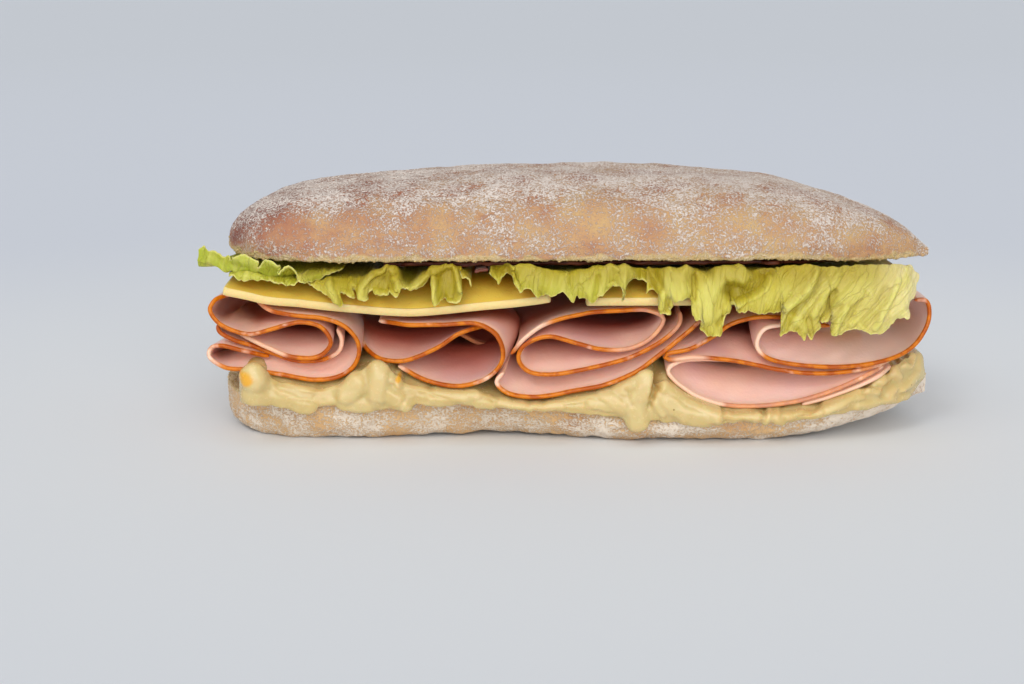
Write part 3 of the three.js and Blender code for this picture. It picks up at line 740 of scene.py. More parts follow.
# Chopped egg, folds and creases of the front: a line of x, z points, its half width and its rise
FRONT_FOLDS = [
    ([(-91.3, 21.9), (-90.5, 20.1)], 4.0, 1.8), ([(-87.3, 21.9), (-87.1, 18.4)], 0.9, 0.7),
    ([(-92.1, 15.7), (-86.4, 13.7), (-80.2, 13.7)], 2.8, 0.6), ([(-82.4, 16.6), (-76.1, 15.4)], 2.4, 0.6),
    ([(-79.0, 12.5), (-74.2, 11.0)], 2.4, 0.7), ([(-72.8, 13.4), (-67.6, 12.8)], 2.0, 0.4),
    ([(-61.6, 18.7), (-64.5, 15.4)], 3.4, 1.5), ([(-59.0, 17.5), (-62.8, 14.3)], 0.8, 0.8),
    ([(-65.1, 12.8), (-59.1, 11.9)], 2.6, 0.8), ([(-54.9, 23.0), (-55.9, 15.1)], 3.2, 1.7),
    ([(-52.1, 23.3), (-51.9, 19.5)], 0.9, 0.9), ([(-50.1, 22.2), (-49.6, 18.4)], 1.3, 0.8),
    ([(-53.3, 16.0), (-50.5, 13.7)], 2.4, 1.0), ([(-48.0, 12.2), (-46.6, 10.7)], 1.8, 1.2),
    ([(-42.6, 13.7), (-36.3, 12.8)], 2.0, 0.6), ([(-38.0, 16.9), (-31.7, 14.9)], 2.4, 0.6),
    ([(-31.4, 17.2), (-27.5, 14.9)], 1.7, 0.7), ([(-27.2, 12.8), (-23.8, 11.9)], 1.8, 0.7),
    ([(-20.9, 13.4), (-10.9, 11.6), (-3.8, 12.2)], 1.7, 0.5), ([(-5.0, 14.6), (7.5, 16.0)], 2.0, 0.6),
    ([(4.7, 13.4), (11.6, 11.6)], 1.6, 0.6), ([(12.0, 18.3), (18.8, 20.4)], 3.2, 1.1),
    ([(20.2, 20.4), (19.7, 16.6), (17.2, 13.6), (18.4, 7.2)], 3.2, 1.3),
    ([(13.1, 17.7), (16.0, 15.1)], 1.3, 0.6), ([(8.6, 16.0), (13.8, 11.9)], 2.6, 1.0),
    ([(24.7, 19.5), (22.3, 14.8), (25.2, 10.1)], 1.4, 1.0),
    ([(26.7, 18.9), (35.9, 13.6), (40.6, 10.7)], 3.4, 1.2),
    ([(26.8, 13.6), (31.5, 10.1), (37.2, 8.9)], 3.2, 1.1), ([(36.8, 11.0), (41.2, 8.9)], 1.6, 0.8),
    ([(43.5, 10.2), (52.1, 9.3)], 1.6, 0.6), ([(56.9, 11.6), (54.7, 7.8)], 1.1, 0.7),
    ([(58.3, 11.0), (57.9, 8.1)], 1.4, 0.6), ([(61.0, 9.6), (66.6, 11.4), (71.1, 13.8)], 1.5, 0.7),
    ([(72.6, 10.9), (77.1, 12.6), (81.3, 15.3)], 1.7, 0.9), ([(78.4, 13.6), (83.0, 13.6)], 1.0, 0.7),
    ([(82.4, 10.8), (90.5, 11.4), (98.3, 11.7)], 1.5, 0.8), ([(84.5, 19.4), (89.2, 17.9)], 1.8, 0.9),
    ([(85.3, 15.2), (88.7, 14.6)], 1.3, 0.7), ([(96.8, 13.7), (99.7, 15.8), (101.6, 17.3)], 1.7, 1.2),
    ([(96.9, 24.2), (98.9, 24.8), (100.2, 22.7), (98.8, 20.3), (96.8, 21.2)], 1.0, 1.1),
    ([(102.3, 22.9), (103.0, 16.3)], 1.8, 1.3), ([(93.1, 21.0), (95.0, 18.1)], 1.6, 0.9),
    ([(91.6, 12.3), (93.8, 14.7)], 1.1, 0.6),
    ([(-83.7, 18.4), (-77.8, 15.7), (-71.0, 14.9), (-67.6, 16.3)], 1.2, -0.5),
    ([(-72.1, 16.9), (-68.4, 15.7)], 2.0, -0.6), ([(-48.2, 18.7), (-43.7, 14.6)], 2.2, -0.6),
    ([(-57.7, 14.0), (-54.0, 12.8)], 0.9, -0.4), ([(-26.0, 18.1), (-22.6, 14.3)], 1.5, -0.5),
    ([(-40.8, 18.1), (-34.6, 17.5)], 1.4, -0.4), ([(24.0, 20.8), (23.1, 17.6)], 1.3, -4.0),
    ([(23.2, 18.2), (22.4, 15.2)], 1.0, -3.0), ([(22.5, 15.6), (21.6, 12.6)], 0.7, -1.6),
    ([(14.9, 16.6), (16.6, 13.1)], 0.8, -0.4), ([(42.4, 11.6), (43.0, 8.1)], 0.7, -0.5),
    ([(55.5, 11.6), (53.6, 7.8)], 0.6, -0.5), ([(65.9, 9.6), (71.2, 12.6)], 0.9, -0.5),
    ([(75.5, 14.8), (79.4, 16.5)], 1.0, -0.4), ([(90.3, 14.1), (93.7, 16.5)], 1.9, -0.8),
    ([(98.5, 22.4), (98.8, 21.8)], 1.0, -0.5), ([(94.4, 11.8), (98.4, 13.6)], 0.8, -0.5),
    ([(83.2, 17.2), (87.9, 16.0)], 0.9, -0.5),
]
# Bits of yolk that show at the front: x, z and radius
YOLKS = [(-92.3, 20.3, 1.7), (95.6, 25.0, 1.5), (98.6, 24.2, 0.9), (-50.0, 19.6, 0.8)]
MAYO_RINGS = 520
# Steps on each side of a ring of mayonnaise, in the order of its corners
MAYO_STEPS = (4, 11, 12, 9, 5, 8, 10, 8, 5, 8, 5, 3, 8, 8, 4)


def mayo_ring(x):
    """Corners of the mayonnaise at one place along the loaf, from the front hem over the top to the back."""
    front, back = float(BOTTOM_FRONT(x)), float(BOTTOM_BACK(x))
    middle = (front + back) / 2
    floor = float(BOTTOM_CUT(x)) + MAYO_GAP
    level = max(float(MAYO_LEVEL(x)), floor + 0.5)
    hem = min(float(MAYO_HEM(x)), floor - 0.6)
    crest = level + sum(height * bell(x, at, width) for at, height, width in MAYO_LUMPS)
    out_front = min(front - MAYO_GAP - MAYO_LIP, float(MAYO_FRONT(x)))
    out_back = back + MAYO_GAP + MAYO_LIP
    bulge = lerp(hem, level, 0.45)
    heaped = level + HAM_RISE * 0.8 * float(ease(back - front, 20.0, 60.0))
    return [(front - MAYO_GAP, hem), (out_front + 0.9, hem - 0.3), (out_front, bulge),
            (out_front + 0.4, lerp(bulge, crest, 0.7)), (out_front + 1.6, crest), (out_front + 3.2, level),
            (lerp(front, back, 0.3), heaped), (lerp(front, back, 0.7), heaped), (out_back - 2, level),
            (out_back, bulge), (out_back - 0.9, hem - 0.3),
            (back + MAYO_GAP, hem), (back + MAYO_GAP, floor), (middle, floor), (front - MAYO_GAP, floor)]


def spread_ring(corners, steps):
    """Points along a closed outline, with the given number of steps on each of its sides."""
    corners = np.array(corners)
    sides = zip(corners, np.roll(corners, -1, axis=0), steps)
    return np.vstack([a + (b - a) * (np.arange(n) / n)[:, None] for a, b, n in sides])


def back_folds(count, seed):
    """Folds of sauce along the back, as uneven as those along the front."""
    chance = np.random.default_rng(seed)
    folds = []
    for x in np.linspace(MAYO_START + 4, MAYO_END - 8, count):
        x = x + chance.uniform(-2.0, 2.0)
        z = lerp(float(MAYO_HEM(x)), float(MAYO_LEVEL(x)), chance.uniform(0.3, 0.8))
        lean = chance.uniform(-4.0, 4.0)
        end = (x + lean, z - chance.uniform(0.5, 4.0))
        folds.append(([(x, z), end], chance.uniform(2.2, 4.0), chance.uniform(0.6, 1.7)))
    return folds


def egg_mayonnaise():
    x = np.linspace(MAYO_START, MAYO_END, MAYO_RINGS)
    flat = np.stack([spread_ring(mayo_ring(float(value)), MAYO_STEPS) for value in x])
    rings = np.concatenate([np.broadcast_to(x[:, None, None], flat.shape[:2] + (1,)), flat], axis=2)
    rings = soften(rings, 6)
    normal = grid_normals(rings, ring=True)
    stray = 0.35 * ripple(rings, 4.5, 2, 24)
    x, z = rings[..., 0] + stray, rings[..., 2] + 0.6 * stray
    front_side = 1.0 - ease(rings[..., 1], -30.0, -20.0) * (1.0 - ease(rings[..., 0], 80.0, 95.0))
    front_side = front_side * (1.0 - ease(rings[..., 1], -12.0, -4.0))
    folds, creases = fold_rise(x, z, FRONT_FOLDS)
    behind, _ = fold_rise(x, z, back_folds(34, 4))
    folds = folds * front_side + behind * ease(rings[..., 1], 0.0, 12.0)
    lift = folds + creases * front_side + 0.2 * ripple(rings, 7.0, 2, 21) + 0.06 * ripple(rings, 2.6, 2, 22)
    yolk = np.zeros(rings.shape[:2])
    for at, z, size in YOLKS:
        away = np.hypot(rings[..., 0] - at, rings[..., 2] - z) / size
        yolk = np.maximum(yolk, (1.0 - ease(away, 0.7, 1.3)) * front_side)
    hem_flow = bell(rings[..., 2], BOTTOM_CUT(rings[..., 0]), 2.5) * ripple(rings, (3.0, 30.0, 30.0), 2, 23)
    rings[..., 2] = rings[..., 2] - 0.5 * hem_flow
    rings = rings + normal * lift[..., None]
    rings[1:-1] = 0.5 * rings[1:-1] + 0.25 * (rings[:-2] + rings[2:])
    marks = {"yolk": yolk, "white": np.clip(folds / 2.0, 0.0, 1.0), "crease": -creases * front_side}
    return closed_loft("egg_mayonnaise", rings, marks)


# ---------------------------------------------------------------- sliced ham, in Geometry Nodes

# Middle lines of the slices along their front rims; each slice runs from there to the back
HAM_SLICES = {
    "ham_left_outer": [(-91.5, -27, 42), (-89.6, -34, 40.6), (-85.6, -38.5, 38.8), (-79, -41, 38),
                       (-70.5, -41, 37), (-65.2, -41, 35), (-61.8, -41, 31), (-61.2, -41, 27),
                       (-63.3, -41, 22.6), (-67.5, -41, 20), (-74, -41, 19.2), (-83.5, -41, 20.8),
                       (-92, -41, 22.2), (-99.5, -40, 22.8), (-103.7, -39, 26), (-102.9, -39, 28.4),
                       (-100.6, -39, 28.9), (-94, -38.5, 27.2), (-87, -36, 25)],
    "ham_left_roll": [(-97.4, -30, 42.2), (-99.4, -35, 42.4), (-101.6, -38, 41.8), (-103, -39, 39.5),
                      (-101.5, -40, 36.6), (-98.3, -41, 34.4), (-92.1, -41, 32.6), (-85, -41, 34.2),
                      (-77.5, -41, 36), (-71.4, -41, 34.4), (-69, -41, 30.1), (-72, -41, 26.4),
                      (-79.5, -41, 25.8), (-87.5, -40, 28.7), (-92.6, -38.5, 31), (-96, -35, 32.2)],
    "ham_left_liner": [(-101.2, -37, 34.6), (-100.4, -38, 32.6), (-96.8, -38, 30.4), (-92, -37, 28.6),
                       (-86, -37, 26.2), (-79.5, -37, 24), (-72, -37, 24.2), (-67.4, -37, 26.8),
                       (-66.6, -37, 30), (-67.8, -37, 33.4)],
    "ham_middle_outer": [(-56.5, -35, 35.2), (-52, -38, 35.3), (-47, -41, 35.2), (-37, -41, 35.3),
                         (-27.5, -42, 35.7), (-22, -42, 32.3), (-20.2, -42, 26), (-23.8, -42, 20.6),
                         (-32, -42, 17.7), (-42.3, -41, 19.2), (-50.5, -39, 23)],
    "ham_middle_inner": [(-62.5, -30, 29), (-59.2, -36, 26.6), (-55, -40, 25), (-48.2, -41, 24.8),
                         (-40, -41, 28.1), (-33, -41, 32.7), (-29.6, -39.5, 33.9), (-26, -34, 34.3)],
    "ham_middle_liner": [(-39, -24, 30.9), (-34.6, -24, 28.7), (-30.6, -24, 26.5), (-26, -24, 25.5),
                         (-22.4, -24, 26.5), (-20.4, -24, 28.5)],
    "ham_centre_roll": [(-17.9, -42, 27), (-14, -42, 31.6), (-7.9, -42, 35.8), (2.9, -40, 38.3),
                        (12.7, -38, 38.7), (21.8, -37, 38.7), (26.2, -38, 36.6), (22.9, -40, 31.9),
                        (16, -41, 28.4), (8.1, -41, 28.1), (0.4, -41, 30), (-7.9, -42, 32.1),
                        (-14.6, -42, 29.2), (-15.9, -42, 25.6), (-13.2, -42, 22), (-7, -42, 21),
                        (3.8, -42, 22.7), (16.1, -41, 25.8), (25.4, -40, 30.4), (30.6, -39, 35.2),
                        (31.3, -37, 38.2)],
    "ham_centre_outer": [(-20.1, -41, 21.6), (-22, -42, 18.8), (-19.6, -42, 15.9), (-11.2, -42, 14.4),
                         (-0.4, -42, 16.1), (10.4, -42, 18.4), (19.3, -41, 22.5), (26.8, -40, 28),
                         (34, -39, 33.6), (37.6, -38, 36.8)],
    "ham_right_fold": [(72, -38, 36.9), (62, -39, 37), (52.6, -40, 37.2), (45, -40, 35.2),
                       (39.7, -40, 31.4), (33.4, -40, 28), (27.4, -40, 26.6), (26.3, -40, 25.8),
                       (27.4, -40, 25), (35.2, -40, 25.6), (46.4, -40, 24.5), (59.6, -40, 21.9),
                       (70, -40, 20.8), (79, -39.5, 21.4), (86, -38, 22.4), (92, -33, 23.6)],
    "ham_right_upper": [(73, -40, 34.8), (60, -40, 35.1), (54, -41, 33.8), (52.2, -41, 29.6),
                        (54.2, -41, 26.3), (59.4, -41, 24.4), (73.4, -41, 23), (89.1, -39, 24.4),
                        (97.4, -36, 28), (102, -33, 35.5), (101.2, -32, 40.4), (98, -31, 40.6)],
    "ham_right_lower": [(57, -28, 21.4), (48, -31, 22.8), (38, -35, 23.9), (30.4, -39, 24), (27, -41, 21.8),
                        (32.8, -41, 16.1), (42.6, -41, 12), (57.5, -41, 11.9), (71.9, -40, 14.8),
                        (85, -38.5, 20.4), (90, -34, 22)],
    "ham_right_under": [(66, -39.5, 11.8), (74.1, -39, 13.8), (87.2, -37, 18.9), (92.5, -31, 21)],
}
# Stretches of a rim with little or no rind: from and to as shares of its length, and how bare it is there
BARE_RIMS = {
    "ham_left_roll": [(0.0, 0.04, 1.0), (0.8, 1.0, 0.8)], "ham_left_liner": [(0.78, 1.0, 0.9)],
    "ham_left_outer": [(0.0, 0.12, 0.45), (0.79, 0.84, 0.7)],
    "ham_middle_outer": [(0.0, 0.03, 1.0), (0.97, 1.0, 1.0)], "ham_middle_inner": [(0.0, 0.08, 0.7)],
    "ham_middle_liner": [(0.0, 1.0, 0.5)],
    "ham_centre_roll": [(0.02, 0.09, 1.0), (0.26, 0.44, 0.45), (0.95, 1.0, 0.4)],
    "ham_centre_outer": [(0.0, 0.06, 1.0)],
    "ham_right_fold": [(0.0, 0.04, 1.0), (0.44, 0.52, 0.8), (0.93, 1.0, 0.6)],
    "ham_right_upper": [(0.06, 0.3, 1.0)],
    "ham_right_lower": [(0.0, 0.52, 1.0), (0.52, 1.0, 0.35)], "ham_right_under": [(0.0, 1.0, 1.0)],
}
# How deep the meat of a slice seems beyond its own rim, for the painted shade of its inside; negative where
# it lies open, which paints it paler, as if lit
HAM_SHADE_DEPTH = {
    "ham_left_outer": -8.0, "ham_left_roll": 5.0, "ham_left_liner": 2.0, "ham_middle_outer": 8.0,
    "ham_middle_inner": 10.0, "ham_middle_liner": 24.0, "ham_centre_roll": 4.0, "ham_centre_outer": 2.0,
    "ham_right_fold": 2.0, "ham_right_upper": -40.0, "ham_right_lower": -14.0, "ham_right_under": 0.0,
}
RIM_POINTS = 220
FILLING_BACK = profile([(-108, -12), (-103.5, 20), (-95, 32), (-80, 39), (-40, 42), (20, 42), (60, 39),
                        (80, 31), (95, 16), (103, 0)])


def folded_slice_tree():
    """A slice that follows a rim line: closed, rounded at every edge, and slightly wavy."""
    tree, make, given = new_tree("folded_slice", "Slice", {
        "Rim": "Geometry", "Thickness": "Float", "Wave Height": "Float", "Wave Size": "Float",
        "Rise": "Float", "Inward": "Float", "Steps Along": "Int", "Steps Around": "Int",
        "Look": "Material"})
    thickness = given.also("Thickness")
    rim = make.node("GeometryNodeMeshToCurve", {}, {"Mesh": given}, "Curve")
    sizes = {"Size X": 1.0, "Size Y": 1.0, "Vertices X": given.also("Steps Along"),
             "Vertices Y": given.also("Steps Around")}
    grid = make.node("GeometryNodeMeshGrid", {}, sizes, "Mesh")
    flat = make.node("ShaderNodeSeparateXYZ", {}, {0: make.node("GeometryNodeInputPosition")}, "X")
    share = (flat + 0.5).ease(0.0, 1.0)
    turn = flat.also("Y") * 2.0
    smoother = {"interpolation_type": "SMOOTHERSTEP"}
    inwards = make.node("ShaderNodeMapRange", smoother, {0: turn.math("ABSOLUTE")}, "Result")

    def on_rim(mark, out):
        sampling = {"mode": "FACTOR", "data_type": "FLOAT", "use_all_curves": True}
        inputs = {"Curves": rim, "Value": make.mesh_mark(mark), "Factor": share}
        return make.node("GeometryNodeSampleCurve", sampling, inputs, out)

    sampled = on_rim("reach", "Position")
    reach = sampled.also("Value")
    depth = reach * inwards
    bare = on_rim("bare", "Value")
    length = make.node("GeometryNodeCurveLength", {}, {"Curve": rim}, "Length")
    from_end = share.math("MINIMUM", 1.0 - share) * length
    from_back = reach - depth

    def rounding(distance):
        missing = 1.0 - (distance / (thickness * 0.5)).math("MINIMUM", 1.0)
        return (1.0 - missing * missing).math("MAXIMUM", 0.0).math("SQRT")

    half = thickness * 0.5 * rounding(depth) * rounding(from_back) * rounding(from_end * 0.4)
    tangent = sampled.also("Tangent")
    outwards = tangent.math("CROSS_PRODUCT", (0.0, 1.0, 0.0)).math("NORMALIZE")
    middle = sampled + make.vector(Y=depth)
    rim_place = make.node("ShaderNodeSeparateXYZ", {}, {0: sampled}, "X")
    x, z = rim_place / MM, rim_place.also("Z") / MM
    y = rim_place.also("Y") / MM + depth / MM
    from_front = y - HAM_FRONT
    near_open_end = 1.0 - ((x - OPEN_END) / 6.0).held()
    # Inside the loaf a slice leans, sways, fans out and rises off the sauce, and droops at the open end
    off_centre = (x + 20.0) / 16.0
    lean = ((off_centre * off_centre) * -1.0).math("EXPONENT") * 4.0
    lean = lean * (from_front / 10.0).held() * ((z - 20.0) / 18.0).held() * ((30.0 - y) / 50.0).held()
    sway = (from_front * (math.pi / 42.0)).math("SINE") * ((x + 35.0) / 26.0).math("COSINE") * 2.0
    inside = (depth / MM).ease(0.0, 18.0) * (from_back / MM).ease(0.0, 18.0)
    near_gap = (((x - HAM_GAP) / 6.5) ** 2.0 * -1.0).math("EXPONENT")
    pinch = (HAM_GAP - x) * near_gap * inside * 0.6
    room = ((x + 101.0) / 14.0).held() * ((99.0 - x) / 14.0).held()
    rise = (1.0 - z.ease(16.0, 38.0)) * inside * room * given.also("Rise")
    off_ends = 1.0 - ((x.math("ABSOLUTE") - 62.0) / 28.0).held()
    spread = (x - FAN_MIDDLE) * (depth / MM) / FAN_DISTANCE * off_ends
    droop = near_open_end * ((z - 20.0) / 8.0).held() * depth * 0.24
    sideways = (lean + sway + pinch + spread) * MM
    shift = make.vector(X=sideways, Z=rise - droop)
    wave_scale = given.also("Wave Size").math("POWER", -1.0)
    wave = make.node("ShaderNodeTexNoise", {}, {"Vector": middle, "Scale": wave_scale, "Detail": 2.0}, "Fac")
    wave = (wave - 0.5) * given.also("Wave Height") * 2.0
    offset = make.scaled(outwards, half * turn.math("SIGN") + wave)
    # Near the open end the painted shade of a slice's inside is lifted, as if lit there
    open_side = (1.0 - ((x - OPEN_END) / 14.0).held()) * 34.0
    from_rims = depth.math("MINIMUM", from_back)
    marks = {"edge": from_rims.math("MINIMUM", from_end) / MM, "bare": bare,
             "inward": from_rims / MM + given.also("Inward") - open_side}
    marked = grid
    for name, value in marks.items():
        marked = make.node("GeometryNodeStoreNamedAttribute", {"data_type": "FLOAT", "domain": "POINT"},
                           {"Geometry": marked, "Name": name, "Value": value})
    placed = make.node("GeometryNodeSetPosition", {},
                       {"Geometry": marked, "Position": middle + shift + offset})
    joined = make.node("GeometryNodeMergeByDistance", {}, {"Geometry": placed, "Distance": 2e-6})
    make.close(joined, given.also("Look"), "Slice")
    return tree


def grown(name, tree, mesh, **inputs):
    """Runs a Geometry Nodes tree on a mesh and returns its result as a plain piece."""
    piece = new_object(name, mesh)
    modifier = piece.modifiers.new("grow", "NODES")
    modifier.node_group = tree
    wanted = {key.replace("_", " "): value for key, value in inputs.items()}
    for item in tree.interface.items_tree:
        if item.in_out == "INPUT" and item.name in wanted:
            modifier[item.identifier] = wanted[item.name]
    graph = bpy.context.evaluated_depsgraph_get()
    result = bpy.data.meshes.new_from_object(piece.evaluated_get(graph), depsgraph=graph)
    piece.modifiers.remove(modifier)
    piece.data = result
    result.name = name
    return piece


def line_mesh(name, points, marks):
    """A line of points in millimetres with marks at them, for a Geometry Nodes tree to grow."""
    mesh = bpy.data.meshes.new(name)
    mesh.from_pydata((points * MM).tolist(), [(i, i + 1) for i in range(len(points) - 1)], [])
    keep_marks(mesh, marks)
    return mesh


def ham_slices():
    tree = folded_slice_tree()
    for name, rim in HAM_SLICES.items():
        line = even_line(rim, RIM_POINTS)
        back = np.maximum(FILLING_BACK(line[:, 0]), line[:, 1] + 12.0)
        length = np.linalg.norm(np.diff(line, axis=0), axis=1).sum()
        share = np.linspace(0.0, 1.0, len(line))
        bare = np.zeros(len(line))
        for start, end, how_bare in BARE_RIMS.get(name, []):
            begins = 1.0 if start == 0.0 else ease(share, start - 0.015, start + 0.015)
            stops = 1.0 if end == 1.0 else 1.0 - ease(share, end - 0.015, end + 0.015)
            bare = np.maximum(bare, how_bare * begins * stops)
        mesh = line_mesh(name, line, {"reach": (back - line[:, 1]) * MM, "bare": bare})
        piece = grown(name, tree, mesh, Thickness=HAM_THICKNESS * MM, Wave_Height=0.00022, Wave_Size=0.009,
                      Rise=HAM_RISE * MM, Inward=HAM_SHADE_DEPTH[name], Steps_Along=int(40 + length * 0.9),
                      Steps_Around=92, Look=HAM_LOOK)
        finish(piece, HAM_LOOK, "ham", name)


# ---------------------------------------------------------------- cheese, lettuce and the thin layers

CHEESE_SLICES = {
    "cheese_left": [(-99.5, 43.2), (-93, 41.8), (-87.3, 40.5), (-75.7, 39.4), (-62.3, 38), (-45.8, 37),
                    (-27.5, 38.6), (-12.4, 40.1), (-6.5, 41)],
    "cheese_right": [(3.4, 40), (22, 40.1), (34, 40.2), (60, 40.4), (88, 41.2)],
}


def cheese_slices():
    for number, (name, underside) in enumerate(CHEESE_SLICES.items()):
        height = profile(underside)
        start, end = underside[0][0], underside[-1][0]
        x = start + edge_places(end - start, 1.1)[:, None]
        y = CHEESE_FRONT + edge_places(CHEESE_BACK - CHEESE_FRONT, 1.1)[None, :]
        from_side = np.minimum(x - start, end - x) + 0 * y
        from_edge = np.minimum(y - CHEESE_FRONT, CHEESE_BACK - y) + 0 * x
        corner = 0.9 * np.clip(1.0 - from_edge / 1.2, 0.0, 1.0) ** 2
        corner = corner * np.clip(1.0 - from_side / 1.2, 0.0, 1.0)
        grid = np.stack([x + corner * np.sign((start + end) / 2 - x), y + 0 * x, height(x) + 0 * y], axis=2)
        sag = CHEESE_REST - height(x)
        grid[..., 2] += sag * (1.0 - (1.0 - np.clip((y - CHEESE_FRONT - 0.7) / 22.0, 0.0, 1.0)) ** 2.0)
        grid[..., 2] += CHEESE_THICKNESS / 2 + 0.5 + 0.12 * ripple(grid, 16.0, 2, 31 + number)
        grid[..., 1] += 0.25 * ripple(grid, 9.0, 2, 33 + number) * (1.0 - ease(from_edge, 0.0, 6.0))
        half = CHEESE_THICKNESS / 2 * rounded(from_side, 0.5, 4.0) * rounded(from_edge, 0.5, 4.0)
        piece = closed_sheet(name, grid, half, {"edge": np.minimum(from_side, from_edge)})
        finish(piece, CHEESE_LOOK, "cheese", name)


LEAF_BACK = profile([(-107.5, -28), (-103, -23), (-99, -8), (-94, 18), (-88, 30), (-80, 37), (-40, 40),
                     (20, 40), (60, 37), (80, 29), (95, 12), (100, 2)])
